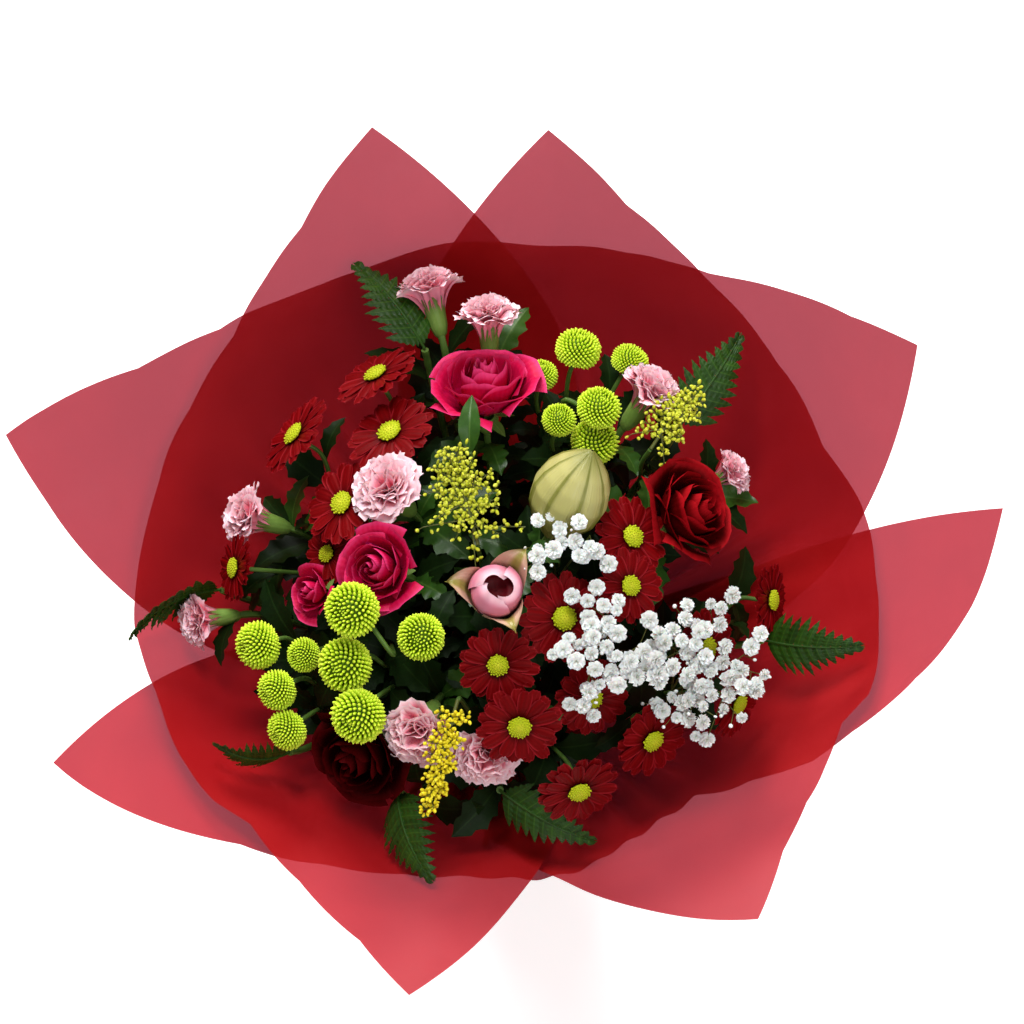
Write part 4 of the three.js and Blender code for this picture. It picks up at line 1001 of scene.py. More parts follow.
class Finish:
    """A material and the nodes that make it."""

    def __init__(self, name):
        self.material = bpy.data.materials.new(name)
        self.material.use_nodes = True
        self.tree = self.material.node_tree
        self.tree.nodes.clear()
        self.output = self.tree.nodes.new("ShaderNodeOutputMaterial")

    def node(self, kind, settings=None, inputs=None, output=0):
        made = self.tree.nodes.new(kind)
        for key, value in (settings or {}).items():
            setattr(made, key, value)
        for key, value in (inputs or {}).items():
            if isinstance(value, Value):
                self.tree.links.new(value.socket, made.inputs[key])
            else:
                made.inputs[key].default_value = value
        return Value(self, made.outputs[output])

    def maths(self, operation, *numbers):
        return self.node("ShaderNodeMath", {"operation": operation}, dict(enumerate(numbers)))

    def mark(self, name):
        return self.node("ShaderNodeAttribute", {"attribute_name": name}, output="Fac")

    def noise(self, scale, detail, roughness=0.55, distortion=0.0):
        inputs = {
            "Vector": self.node("ShaderNodeTexCoord", output="Object"),
            "Scale": scale,
            "Detail": detail,
            "Roughness": roughness,
            "Distortion": distortion,
        }
        return self.node("ShaderNodeTexNoise", {}, inputs)

    def mix(self, share, a, b):
        colour = [(*c, 1.0) if isinstance(c, tuple) else c for c in (a, b)]
        settings = {"data_type": "RGBA", "blend_type": "MIX"}
        return self.node("ShaderNodeMix", settings, {0: share, 6: colour[0], 7: colour[1]}, output=2)

    def bump(self, height, strength, distance):
        return self.node("ShaderNodeBump", {}, {"Height": height, "Strength": strength, "Distance": distance})

    def surface(self, **inputs):
        names = {key.replace("_", " "): value for key, value in inputs.items()}
        return self.node("ShaderNodeBsdfPrincipled", {}, names)

    def close(self, shader):
        self.tree.links.new(shader.socket, self.output.inputs["Surface"])
        return self.material


# Finishes of petals, leaves, film and twine
def petal_finish(name, root, body, edge, edge_start=0.75, veins=26, vein_depth=0.25,
                 mottle=0.25, roughness=0.5, gloss=0.12, glow=0.15, bump=0.35, side_edge=False):
    """Petal skin: deeper at the root, its own colour in the middle and another at the rim, with painted shade
    and painted light mixed in.
    """
    f = Finish(name)
    along = f.mark("along")
    across = f.mark("across")
    patch = f.noise(160.0, 4.0)
    vein = (across * veins + patch * 3.0).wave()
    rim = along.ramp(edge_start, 1.0)
    if side_edge:
        rim = rim.apply("MAXIMUM", across.size().ramp(0.72, 1.0) * along.ramp(0.1, 0.4))
    colour = f.mix(along.ramp(0.0, 0.55), root, body)
    colour = f.mix((rim * (0.75 + patch * 0.5)).clamp(), colour, edge)
    # Random tone, mottle and vein stripes, plus painted shade and painted light: the per-petal mark darkens
    # petal hearts and lightens outer petals, and dark and light are shaded and lit copies of the petal's
    # colours.
    shade = (f.mark("tone_and_shade") - 0.5) * 0.7 + (patch - 0.5) * mottle - vein * vein_depth * 0.35
    dark = tuple(c * 0.4 for c in body)
    light = tuple(min(1.0, c * 1.2 + 0.004) for c in edge)
    colour = f.mix((shade * -1.0).clamp(), colour, dark)
    colour = f.mix(shade.clamp(), colour, light)
    return f.close(f.surface(
        Base_Color=colour,
        Roughness=(roughness + (patch - 0.5) * 0.2).clamp(0.2, 0.95),
        Normal=f.bump(vein * vein_depth + f.noise(900.0, 2.0) * 0.25, bump, 0.0006),
        Specular_IOR_Level=gloss,
        Subsurface_Weight=glow,
        Subsurface_Radius=(1.0, 0.5, 0.35),
        Subsurface_Scale=0.004,
    ))


def green_finish(name, dark, body, light, roughness=0.45, ridges=0.0, gloss=0.25):
    """Stems, leaves and fern: mottled greens with a paler middle rib."""
    f = Finish(name)
    across = f.mark("across")
    patch = f.noise(90.0, 4.0)
    fine = f.noise(700.0, 3.0)
    colour = f.mix((patch * 0.7 + f.mark("tone_and_shade") * 0.6 - 0.15).clamp(), dark, body)
    rib = 1.0 - across.size().ramp(0.0, 0.12)
    colour = f.mix((rib * 0.35 + (fine - 0.5) * 0.4).clamp(), colour, light)
    height = fine * 0.4 + (across * 40.0 + f.mark("along") * 12.0).sine() * ridges
    return f.close(f.surface(
        Base_Color=colour,
        Roughness=(roughness + (patch - 0.5) * 0.25).clamp(0.2, 0.9),
        Normal=f.bump(height, 0.3, 0.0005),
        Specular_IOR_Level=gloss,
        Subsurface_Weight=0.05,
        Subsurface_Scale=0.003,
    ))


def film_finish():
    """Frosted red film: a tinted see-through layer under a satin skin."""
    f = Finish("red_film")
    cloud = f.noise(14.0, 5.0, 0.6, 0.4)
    frost = f.noise(2600.0, 2.0)
    colour = f.mix(cloud.ramp(0.3, 0.75), (0.50, 0.006, 0.008), (0.58, 0.010, 0.012))
    skin = f.surface(
        Base_Color=colour,
        Roughness=(0.42 + (cloud - 0.5) * 0.2).clamp(0.25, 0.7),
        Normal=f.bump(frost * 0.4 + cloud, 0.18, 0.0012),
        Coat_Weight=0.15,
    )
    clear = f.node("ShaderNodeBsdfTransparent", {}, {"Color": (0.34, 0.10, 0.135, 1.0)})
    return f.close(f.node("ShaderNodeMixShader", {}, {0: 0.61, 1: clear, 2: skin}))


def floor_finish():
    f = Finish("pale_floor")
    return f.close(f.surface(
        Base_Color=f.mix(f.noise(30.0, 2.0), (0.93, 0.93, 0.93), (0.95, 0.95, 0.95)),
        Roughness=0.9,
        Emission_Color=(1.0, 1.0, 1.0, 1.0),
        Emission_Strength=0.5,
    ))


def twine_finish():
    f = Finish("twine")
    fibre = f.noise(2200.0, 4.0)
    twist = (f.mark("along") * 420.0 + f.mark("across") * 6.0).wave()
    return f.close(f.surface(
        Base_Color=f.mix((twist * 0.5 + fibre * 0.5).clamp(), (0.42, 0.34, 0.20), (0.80, 0.73, 0.55)),
        Roughness=0.85,
        Normal=f.bump(twist + fibre * 0.5, 0.6, 0.0008),
    ))


def lily_finish(name, body, rib_colour, blush_and_shade):
    """Lily skin: ribbed along the middle of each tepal and blushed toward the base; on the closed bud the
    darker base is partly painted shade.
    """
    f = Finish(name)
    along = f.mark("along")
    across = f.mark("across")
    patch = f.noise(120.0, 3.0)
    colour = f.mix((1.0 - along.ramp(0.1, 0.8)) * 0.6 + f.mark("tone_and_shade") * 0.1, body, blush_and_shade)
    rib = 1.0 - across.size().ramp(0.10, 0.42)
    colour = f.mix((rib * 0.85 * (0.7 + patch * 0.5)).clamp(), colour, rib_colour)
    colour = f.mix(along.ramp(0.8, 1.0) * 0.8, colour, rib_colour)
    return f.close(f.surface(
        Base_Color=colour,
        Roughness=0.38,
        Normal=f.bump((across * 34.0).wave() * 0.4 + patch, 0.3, 0.0008),
        Subsurface_Weight=0.2,
        Subsurface_Radius=(1.0, 0.9, 0.5),
        Subsurface_Scale=0.004,
    ))


FINISHES = {
    "hot_pink": petal_finish("hot_pink_petal", (0.15, 0.001, 0.010), (0.52, 0.002, 0.052),
                             (0.80, 0.045, 0.19), edge_start=0.82, veins=30, glow=0.12),
    "dark_red": petal_finish("dark_red_petal", (0.005, 0.0002, 0.0003), (0.095, 0.0004, 0.0009),
                             (0.36, 0.004, 0.008), veins=30, roughness=0.55, gloss=0.05, glow=0.04),
    # A much darker copy of the red petal: partly a deeper red, partly painted shade.
    "shaded_deep_red": petal_finish("shaded_deep_red_petal", (0.003, 0.0001, 0.0002), (0.028, 0.0003, 0.0005),
                             (0.08, 0.001, 0.002), veins=30, roughness=0.6, gloss=0.03, glow=0.02),
    "pale_pink": petal_finish("pale_pink_petal", (0.74, 0.08, 0.15), (0.98, 0.31, 0.41), (1.0, 0.70, 0.75),
                              edge_start=0.6, veins=18, mottle=0.25, roughness=0.6, glow=0.35),
    "dusky_pink": petal_finish("dusky_pink_petal", (0.40, 0.03, 0.07), (0.88, 0.30, 0.38), (1.0, 0.72, 0.76),
                               edge_start=0.78, veins=18, mottle=0.3, roughness=0.6, glow=0.25),
    "crimson": petal_finish("crimson_ray", (0.022, 0.0002, 0.0005), (0.17, 0.0006, 0.0016),
                            (0.30, 0.008, 0.014), edge_start=0.95, veins=9, vein_depth=0.7, mottle=0.5,
                            roughness=0.5, gloss=0.06, glow=0.03, side_edge=True),
    "lime": petal_finish("lime_floret", (0.06, 0.13, 0.002), (0.48, 0.72, 0.010), (0.84, 1.0, 0.08),
                         edge_start=0.4, veins=4, vein_depth=0.1, mottle=0.3, roughness=0.5, bump=0.15),
    "disc": petal_finish("lime_disc", (0.24, 0.30, 0.006), (0.46, 0.52, 0.010), (0.62, 0.62, 0.03),
                         veins=6, roughness=0.6),
    "white": petal_finish("white_floret", (0.74, 0.78, 0.64), (0.93, 0.93, 0.90), (1.0, 1.0, 0.98),
                          veins=8, vein_depth=0.1, mottle=0.1, roughness=0.6, glow=0.35),
    "yellow_green": petal_finish("goldenrod_bud", (0.16, 0.24, 0.01), (0.56, 0.58, 0.035), (0.88, 0.82, 0.16),
                                 veins=6, mottle=0.6, roughness=0.6),
    "golden": petal_finish("golden_bud", (0.34, 0.32, 0.01), (0.78, 0.62, 0.015), (0.95, 0.80, 0.08),
                           veins=6, roughness=0.6),
    # The lily's throat: partly its own dark crimson, partly painted shade deep in the cup.
    "shaded_throat": petal_finish("lily_shaded_throat", (0.10, 0.0005, 0.004), (0.16, 0.001, 0.008), (0.30, 0.01, 0.03)),
    "stem": green_finish("stem_skin", (0.03, 0.07, 0.01), (0.10, 0.19, 0.03), (0.22, 0.34, 0.08), ridges=0.2),
    "calyx": green_finish("calyx_skin", (0.07, 0.14, 0.02), (0.20, 0.32, 0.06), (0.36, 0.46, 0.12),
                          ridges=0.2),
    "twig": green_finish("spray_twig", (0.05, 0.05, 0.01), (0.13, 0.15, 0.03), (0.26, 0.26, 0.08)),
    "fern": green_finish("fern_blade", (0.003, 0.018, 0.001), (0.024, 0.082, 0.004), (0.075, 0.18, 0.014),
                         roughness=0.42, ridges=0.5),
    "leaf": green_finish("leaf_blade", (0.010, 0.038, 0.004), (0.040, 0.115, 0.012), (0.12, 0.22, 0.04),
                         roughness=0.34),
    # Near-black leaves: partly dark foliage, partly painted shade between the heads.
    "underleaf": green_finish("shaded_leaf", (0.002, 0.007, 0.001), (0.008, 0.026, 0.003),
                              (0.025, 0.06, 0.012), roughness=0.5, gloss=0.1),
    # The closed bud's darker base colour is partly its greener base, partly painted shade on its lower half.
    "lily_closed": lily_finish("lily_bud_skin", (0.50, 0.46, 0.16), (0.15, 0.16, 0.008), (0.28, 0.28, 0.05)),
    "lily_open": lily_finish("lily_petal_skin", (0.62, 0.40, 0.28), (0.28, 0.25, 0.02), (0.50, 0.20, 0.18)),
    "lily_inner": petal_finish("lily_inner_petal", (0.50, 0.14, 0.18), (0.62, 0.20, 0.28),
                               (0.86, 0.52, 0.58), edge_start=0.8, veins=8, vein_depth=0.4, glow=0.2),
    "film": film_finish(),
    "twine": twine_finish(),
}


# Rose petals
def rose_petal(radius, t, angle, rng):
    """A petal of the whorl, where t is 0 at the heart and 1 at the outside."""
    v, u = petal_grid(12, 13)
    belly = radius * (0.13 + 0.72 * t ** 0.9)
    rim = radius * (0.05 + 0.86 * t ** 1.25)
    top = radius * (0.50 - 0.30 * t ** 1.7 + rng.uniform(-0.02, 0.02))
    curl = radius * 0.17 * max(0.0, t - 0.3) / 0.7
    roll = smooth(0.62, 1.0, v)
    widening = 0.62 + 0.5 * v - 0.22 * smooth(0.7, 1.0, v)
    theta = angle + u * (1.35 - 0.66 * t) * widening
    pinch = 0.05 * radius * (t > 0.45) * np.exp(-(u / 0.16) ** 2) * smooth(0.8, 1.0, v)
    r = bent(0.1 * radius, belly * 1.12, rim, v) + pinch
    r = r + curl * roll ** 2 * (0.7 + 0.5 * np.abs(u)) + radius * 0.07 * u * (1 - 0.4 * t)
    wave = 0.025 * radius * np.sin(u * 5 + angle * 3) * v ** 2
    z = bent(-0.55 * radius, (-0.02 - 0.14 * t) * radius, top, v)
    z = z - curl * 0.9 * roll ** 2 - radius * 0.22 * np.abs(u) ** 3 * v ** 2 + wave
    return around(r, theta, z)


def build_rose(head):
    rng = random.Random(100 + head.index)
    shape = Shape()
    count = ROSE_PETALS if head.radius > 20 else ROSE_BUD_PETALS
    for k in range(count):
        t = k / (count - 1)
        angle = k * GOLDEN_ANGLE + rng.uniform(-0.2, 0.2)
        rows = rose_petal(head.radius, t, angle, rng)
        # Inner petals are painted darker and outer ones lighter: painted shade in the heart and painted light
        # on the outer petals, with random tone.
        shape.on(head, rows, 0.42 + 0.2 * t + rng.uniform(-0.08, 0.08))
    slot = "hot_pink" if "pink" in head.name else "dark_red"
    # rose_red_2, low in the bunch, takes the darker copy: partly a deeper red rose, partly painted shade.
    finish = "shaded_deep_red" if head.name == "rose_red_2" else slot
    shape.piece(f"{head.name}_bloom", finish, head.name)


# Carnation petals
def carnation_petal(radius, t, angle, rng):
    """A toothed petal on a narrow claw, where t is 0 at the outside and 1 at the heart."""
    v, u = petal_grid(9, 15)
    tip_r = radius * (1.0 - 0.86 * t ** 1.1) * rng.uniform(0.93, 1.03)
    tip_z = radius * (-0.14 + 0.64 * t ** 0.75 + rng.uniform(-0.05, 0.05))
    tooth = 1 - 0.07 * np.abs(((u * 4.5 + angle) % 1.0) - 0.5) * 2 - 0.12 * u ** 2
    s = v * (1 - (1 - tooth) * v ** 2)
    width = radius * (0.10 + 0.60 * v ** 0.9) * (1 - 0.25 * t)
    phase = rng.uniform(0, 6)
    ruffle = radius * 0.10 * v ** 1.6 * np.sin(u * 4.0 + phase)
    small = radius * 0.018 * v ** 3 * np.sin(u * 13 + phase * 2)
    x = bent(0.06 * radius, radius * (0.15 - 0.08 * t), tip_r, s) - ruffle * (0.35 + 0.5 * t)
    z = bent(-1.35 * radius, radius * (0.12 + 0.1 * t), tip_z, s) + (ruffle + small) * (1 - 0.55 * t)
    return swung(x, u * width, z, angle)


def build_carnation(head):
    rng = random.Random(200 + head.index)
    shape = Shape()
    for k in range(CARNATION_PETALS):
        t = k / (CARNATION_PETALS - 1)
        rows = carnation_petal(head.radius, t, k * GOLDEN_ANGLE, rng)
        # Petals toward the heart are painted darker: painted shade in the heart, with random tone.
        shape.on(head, rows, 0.55 + rng.uniform(-0.1, 0.1) - 0.06 * t)
    finish = "dusky_pink" if head.name in ("carnation_7", "carnation_8") else "pale_pink"
    shape.piece(f"{head.name}_bloom", finish, head.name)


# Single chrysanthemum rays
def ray_petal(radius, angle, reach, lift, rng):
    """A narrow ray with a notched tip, creased along its length."""
    v, u = petal_grid(9, 7)
    tip = 1 - 0.035 * np.abs(np.sin(u * math.pi * 1.5)) * smooth(0.8, 1, v) - 0.05 * u ** 2 * v ** 3
    r = 2.7 + (reach - 2.7) * v * tip
    swell = 0.35 + 0.75 * np.sin(np.minimum(v * 1.9 + 0.15, 1.57))
    y = u * radius * RAY_WIDTH * swell * (1 - 0.25 * smooth(0.82, 1, v))
    share = r / radius
    bow = 0.16 * radius * share * (1.6 - share) + lift
    crease = 0.35 * np.cos(u * 2 * math.pi) * smooth(0, 0.3, v) - 0.7 * u ** 2 * v
    sag = rng.uniform(-0.9, 0.7) * v ** 2
    twist = rng.uniform(-0.16, 0.16) * y * v
    return swung(r, y, bow + crease + sag + twist, angle)


def build_daisy(head):
    rng = random.Random(300 + head.index)
    shape = Shape()
    for row, (count, share, lift) in enumerate(RAY_ROWS):
        for k in range(count):
            angle = 2 * math.pi * (k + 0.5 * row) / count + rng.uniform(-0.05, 0.05)
            reach = head.radius * share * rng.uniform(0.96, 1.07)
            rows = ray_petal(head.radius, angle, reach, lift, rng)
            shape.on(head, rows, 0.45 + rng.uniform(-0.35, 0.2))
    shape.piece(f"{head.name}_rays", "crimson", head.name)


def add_disc(shape, head, rng):
    """The lime middle of a single chrysanthemum, packed with small florets."""
    disc = 0.27 * head.radius
    base = 0.09 * head.radius + 0.5 + SEAT_GAP
    profile = [(0.1, 0), (disc * 0.9, 0), (disc * 0.98, 0.8), (disc * 0.7, 2.0), (0.1, 2.6)]
    shape.on(head, turned([(r, base + z) for r, z in profile], 20), 0.4, ring=True)
    for k in range(DISC_FLORETS):
        share = math.sqrt((k + 0.5) / DISC_FLORETS)
        angle = k * GOLDEN_ANGLE
        spot = around(disc * share, angle, base + 2.5 - 1.9 * share ** 2)
        axis = head.turn @ around(share * 0.7, angle, 1)
        size = 0.34 + 0.34 * share
        tone_and_shade = 0.35 + 0.3 * share + rng.uniform(-0.1, 0.1)
        bead(shape, head.place(spot), axis, size, size * 1.5, tone_and_shade, 5, 3)


# Pompon heads
def add_pompon(shape, head):
    """A ball of small florets on a core, with a dimple on top."""
    rng = random.Random(400 + head.index)
    radius = head.radius
    core = [(0.72 * math.sin(p), 0.62 * math.cos(p)) for p in np.linspace(0.02, 3.0, 12)]
    # The core is painted in the darkest lime: painted shade in the gaps between the florets.
    shape.on(head, turned(core, 18) * radius, 0.2, along=0.0, ring=True)
    for k in range(POMPON_FLORETS):
        polar = 2.35 * ((k + 0.5) / POMPON_FLORETS) ** 0.58
        angle = k * GOLDEN_ANGLE
        out = around(math.sin(polar), angle, math.cos(polar))
        up = around(-math.cos(polar), angle, math.sin(polar))
        dimple = 1 - 0.30 * math.exp(-(polar / 0.30) ** 2)
        size = radius * (0.040 + 0.030 * min(1, polar * 0.9))
        spot = out * radius * (0.90 * dimple * rng.uniform(0.96, 1.04))
        spot[2] *= 0.9
        axis = head.turn @ unit(out + up * 0.35)
        bead(shape, head.place(spot), axis, size, size * 2.5, 0.45 + rng.uniform(-0.16, 0.16))


# Lily buds
def build_lily_closed(head):
    """A closed bud with raised seams between its tepals."""
    angles = full_turn(72)
    heights = np.linspace(-1.35, 1.3, 40)[:, None]
    girth = np.interp(heights, [-1.35, -1.15, -0.85, -0.45, 0.0, 0.4, 0.75, 1.0, 1.2, 1.3],
                      [0.14, 0.34, 0.62, 0.84, 0.90, 0.80, 0.60, 0.38, 0.15, 0.03])
    seam = np.abs(np.sin(angles * 4))
    ridge = 1 + 0.035 * (1 - seam) ** 3 - 0.05 * np.exp(-((seam - 0.35) / 0.16) ** 2)
    shape = Shape()
    shape.on(head, around(girth * ridge, angles, heights) * head.radius, across=seam, ring=True)
    shape.piece("lily_bud_closed_skin", "lily_closed", head.name)


def lily_tepal(k):
    """A broad outer tepal with a keel, whose tip turns out."""
    v, u = petal_grid(22, 13)
    stations = [0, 0.2, 0.42, 0.6, 0.78, 0.9, 1.0]
    r = np.interp(v, stations, [0.12, 0.52, 0.76, 0.86, 1.04, 1.24, 1.45])
    z = np.interp(v, stations, [-1.3, -0.85, -0.3, 0.15, 0.46, 0.55, 0.46])
    half = np.interp(v, stations, [0.60, 0.98, 0.98, 0.84, 0.50, 0.22, 0.02])
    keel = 0.05 * np.exp(-(u / 0.22) ** 2) * smooth(0.1, 0.5, v)
    cup = 0.13 * u ** 2 * smooth(0.35, 0.7, v)
    z = z + cup + 0.02 * np.sin(v * 15 + k) * np.abs(u)
    return around(r + keel - cup * 0.5, 2 * math.pi * k / 3 + u * half, z)


def lily_inner(k, opening):
    """One of three inner petals, rolled over the next and standing off on the open side."""
    v, u = petal_grid(18, 15)
    theta = 2 * math.pi * k / 3 + 1.0 + u * 1.22
    stations = [0, 0.35, 0.62, 0.85, 1.0]
    r = np.interp(v, stations, [0.40, 0.74, 0.76, 0.56, 0.30])
    z = np.interp(v, stations, [-0.9, -0.1, 0.32, 0.66, 0.80])
    near = np.maximum(0, np.cos(theta - opening)) ** 2
    r = r + 0.07 * u * smooth(0.2, 0.8, v) + 0.22 * near * smooth(0.55, 1, v)
    z = z - 0.16 * u ** 2 * smooth(0.5, 1, v) - 0.20 * near * smooth(0.55, 1, v)
    return around(r, theta, z)


def build_lily_opening(head):
    right = head.turn.T @ VIEW_RIGHT
    opening = math.atan2(right[1], right[0]) - 0.3
    petals = Shape()
    heart = Shape()
    shaded_throat = Shape()
    for k in range(3):
        petals.on(head, lily_tepal(k) * head.radius, 0.45 + 0.05 * k)
        heart.on(head, lily_inner(k, opening) * head.radius, 0.5 + 0.06 * k)
    # A dark closed form deep in the cup: partly the throat's own crimson, partly painted shade.
    profile = [(0.02, 0.12), (0.30, 0.16), (0.50, 0.34), (0.56, 0.20), (0.52, -0.2), (0.02, -0.3)]
    shaded_throat.on(head, turned(profile, 24) * head.radius, ring=True)
    petals.piece("lily_bud_opening_petals", "lily_open", head.name)
    heart.piece("lily_bud_opening_heart", "lily_inner", head.name)
    shaded_throat.piece("lily_bud_opening_shaded_throat", "shaded_throat", head.name)


# Gypsophila
def add_floret(shape, centre, facing, size, rng):
    """A small double flower: frilled petals in tiers that close to a ball."""
    turn = head_turn(facing, rng.uniform(0, 6))
    v, u = petal_grid(4, 4)
    for tier, (count, reach, rise) in enumerate(FLORET_TIERS):
        for k in range(count):
            angle = 2 * math.pi * k / count + tier * 0.6 + rng.uniform(-0.2, 0.2)
            r = size * reach * v * (1 - 0.16 * u ** 2 * v)
            z = size * (rise * v ** 0.7 + 0.16 * np.sin(u * 4 + k * 2) * v)
            rows = around(r, angle + u * (0.66 - 0.16 * v), z)
            # Each higher tier is painted a little darker: painted shade inside the floret, with random tone.
            shape.grid(put(rows, centre, turn), 0.55 + rng.uniform(-0.1, 0.1) - 0.03 * tier)


def add_gypsophila_cluster(flowers, twigs, root, spot, rng):
    """One to four florets and a few buds at the end of a fine twig."""
    dip = lerp(root, spot, 0.6) - vec(0, 0, 3)
    tube(twigs, smooth_path([root, dip, spot], 7), 0.28, 5)
    facing = unit(outward(spot) + vec(rng.uniform(-0.6, 0.6), rng.uniform(-0.6, 0.6), 0.1))
    bearing = rng.uniform(0, 6)
    for member in range(rng.choice([1, 2, 2, 3, 4])):
        size = rng.choice([4.2, 4.8, 5.2, 3.4])
        step = in_view(0, bearing + member * 1.9, 1, 1, rng.uniform(-0.4, 0.3))
        add_floret(flowers, spot + step * (0 if member == 0 else size * 1.75), facing, size, rng)
    for _ in range(rng.choice([0, 1, 1, 2])):
        bud = spot + vec(rng.uniform(-8, 8), rng.uniform(-8, 8), rng.uniform(-3, 3))
        tube(twigs, smooth_path([dip, lerp(dip, bud, 0.6), bud], 5), 0.2, 4)
        bead(flowers, bud, facing, rng.uniform(0.7, 1.3), rng.uniform(0.9, 1.5), 0.4)


def build_gypsophila(item, seed):
    name, pixel, spread, lift = item
    rng = random.Random(seed)
    middle = on_dome(pixel, lift)
    flowers = Shape()
    twigs = Shape()
    forks = gypsophila_forks(item, SeededDraw(seed))
    for spot in forks:
        tube(twigs, smooth_path(gypsophila_twig(starts[name], spot), 8), 0.5, 6)
    count = int(GYPSOPHILA_CLUSTERS * spread[0] * spread[1])
    for k in range(count):
        angle = k * GOLDEN_ANGLE + rng.uniform(-0.5, 0.5)
        reach = ((k + 0.4) / count) ** 0.62 * rng.uniform(0.85, 1.1)
        spot = in_view(middle, angle, reach * spread[0], reach * spread[1], rng.uniform(-5, 6))
        near = min(forks, key=lambda fork_spot: np.linalg.norm(fork_spot - spot))
        add_gypsophila_cluster(flowers, twigs, near, spot, rng)
    flowers.piece(f"{name}_florets", "white", name)
    twigs.piece(f"{name}_twigs", "twig", name)


# Solidago
def add_bud_cluster(buds, twigs, root, end, rng):
    """A side twig hung with small buds on short stalks of their own."""
    middle = lerp(root, end, 0.5) - VIEW_TOWARD * 0.8
    twig = smooth_path([root, middle, end], 9)
    tube(twigs, twig, np.linspace(0.45, 0.25, 9), 5)
    for m in range(CLUSTER_BUDS):
        share = 0.25 + 0.75 * m / (CLUSTER_BUDS - 1)
        spot = twig[int(share * 8)]
        reach = rng.uniform(1.6, 3.6)
        bud = in_view(spot, m * GOLDEN_ANGLE, reach, reach, rng.uniform(-0.6, 2.4))
        if m % 3 == 0:
            tube(twigs, [spot, lerp(spot, bud, 0.5), bud], 0.2, 4)
        bead(buds, bud, bud - spot + VIEW_TOWARD, rng.uniform(0.75, 1.2), rng.uniform(1.1, 1.9),
             0.5 + rng.uniform(-0.35, 0.35))


def build_solidago(item, seed):
    name, plume = item[0], item[4]
    rng = random.Random(seed)
    path = smooth_path(solidago_path(item), 60)
    buds = Shape()
    twigs = Shape()
    tube(twigs, path, np.linspace(1.1, 0.5, 60), 6)
    sides = 38 if plume > 15 else 26
    for k in range(sides):
        share = 0.2 + 0.8 * k / (sides - 1)
        spot = path[int(share * 59)]
        reach = plume * (1.55 - share * 0.95) * rng.uniform(0.5, 1.1)
        end = in_view(spot, k * GOLDEN_ANGLE, reach, reach, rng.uniform(-3, 5))
        add_bud_cluster(buds, twigs, spot, end, rng)
    colour = "golden" if name == "solidago_3" else "yellow_green"
    buds.piece(f"{name}_buds", colour, name)
    twigs.piece(f"{name}_twigs", "twig", name)


# Leatherleaf fern and leaves
def frond_outline(length, width):
    """The solid frond's outline, which the blade's rise is measured with."""
    pairs = 5
    right = []
    for k in range(pairs):
        s = (k + 0.5) / pairs
        y = length * (0.14 + 0.86 * s)
        reach = width / 2 * min(1, 0.62 + s) * (1.08 - s)
        rise = length * 0.055
        right += [(1.6, y - length * 0.06), (reach * 0.62, y - rise * 0.35), (reach * 0.66, y + rise * 0.1)]
        right.append((reach, y + rise * 1.1))
    left = [(-x, y + 0.4) for x, y in reversed(right)]
    return np.array([(1.1, 0), *right, (0, length * 1.02), *left, (-1.1, 0)])


class Frond(Blade):
    """A frond whose tip rises along the view until the whole blade clears the film."""

    def __init__(self, item):
        name, _, tip_pixel, lift, width = item
        for rise in range(0, FROND_RISE, 2):
            super().__init__(raised(starts[name], BLADE_SEAT), on_dome(tip_pixel, lift + rise))
            x, y = frond_outline(self.length, width).T
            if is_inside_film(self.at(x, y), FROND_CLEARANCE):
                break

    def at(self, x, y, lift=0):
        return self.rows(x, y, arch(FROND_ARCH, y / self.length) + FROND_FOLD * np.abs(x) + lift)


def pinna(shape, frond, y, hand, reach, half, tone_and_shade, rng):
    """One toothed leaflet that leaves the rib at a slant and curves toward the tip."""
    v, u = petal_grid(22, 7)
    lobes = 1 + 0.34 * np.abs(np.sin(v * math.pi * 5.5)) * (1 - v) ** 0.4 - 0.12
    width = half * np.interp(v, [0, 0.10, 0.35, 0.75, 1.0], [0.55, 1.0, 0.92, 0.50, 0.03]) * lobes
    x = hand * (v * reach + np.abs(u) * width * 0.12)
    station = y + v * reach * (0.34 + 0.16 * v) + u * width
    vein = 0.35 * np.cos(v * math.pi * 11) * np.abs(u)
    lift = 0.9 * np.sin(v * math.pi) - 0.16 * np.abs(u) * width + vein + rng.uniform(-2.0, 1.6) * v ** 2
    shape.grid(frond.at(x, station, lift), tone_and_shade)


def build_fern(item, seed):
    name, width = item[0], item[4]
    rng = random.Random(seed)
    frond = Frond(item)
    shape = Shape()
    rib = frond.at(np.zeros(20), np.linspace(0, 0.99, 20) * frond.length)
    tube(shape, rib, np.linspace(0.9, 0.3, 20), 6, 0.7)
    half = frond.length * 0.9 / FERN_PAIRS * 0.68
    for k in range(FERN_PAIRS):
        s = (k + 0.5) / FERN_PAIRS
        y = frond.length * (0.06 + 0.9 * s)
        reach = width / 2 * min(1, 0.66 + s) * (1.10 - s) * rng.uniform(0.95, 1.04)
        for hand in (-1, 1):
            pinna(shape, frond, y, hand, reach, half, 0.5 + rng.uniform(-0.35, 0.35), rng)
    shape.piece(f"{name}_frond", "fern", name)


def build_leaf(item):
    name, _, tip_pixel, lift, width = item
    leaf = Blade(raised(starts[name], BLADE_SEAT), on_dome(tip_pixel, lift + 4))
    v, u = petal_grid(22, 11)
    half = np.interp(v, [0, 0.12, 0.3, 0.5, 0.78, 1.0], [0.14, 0.36, 0.52, 0.54, 0.34, 0.01]) * width
    rise = arch(5, v) + 0.3 * np.abs(u) * half + 0.25 * np.sin(v * 22) * u ** 2
    shape = Shape()
    shape.grid(leaf.rows(u * half, v * leaf.length, rise))
    shape.piece(f"{name}_blade", "leaf", name)


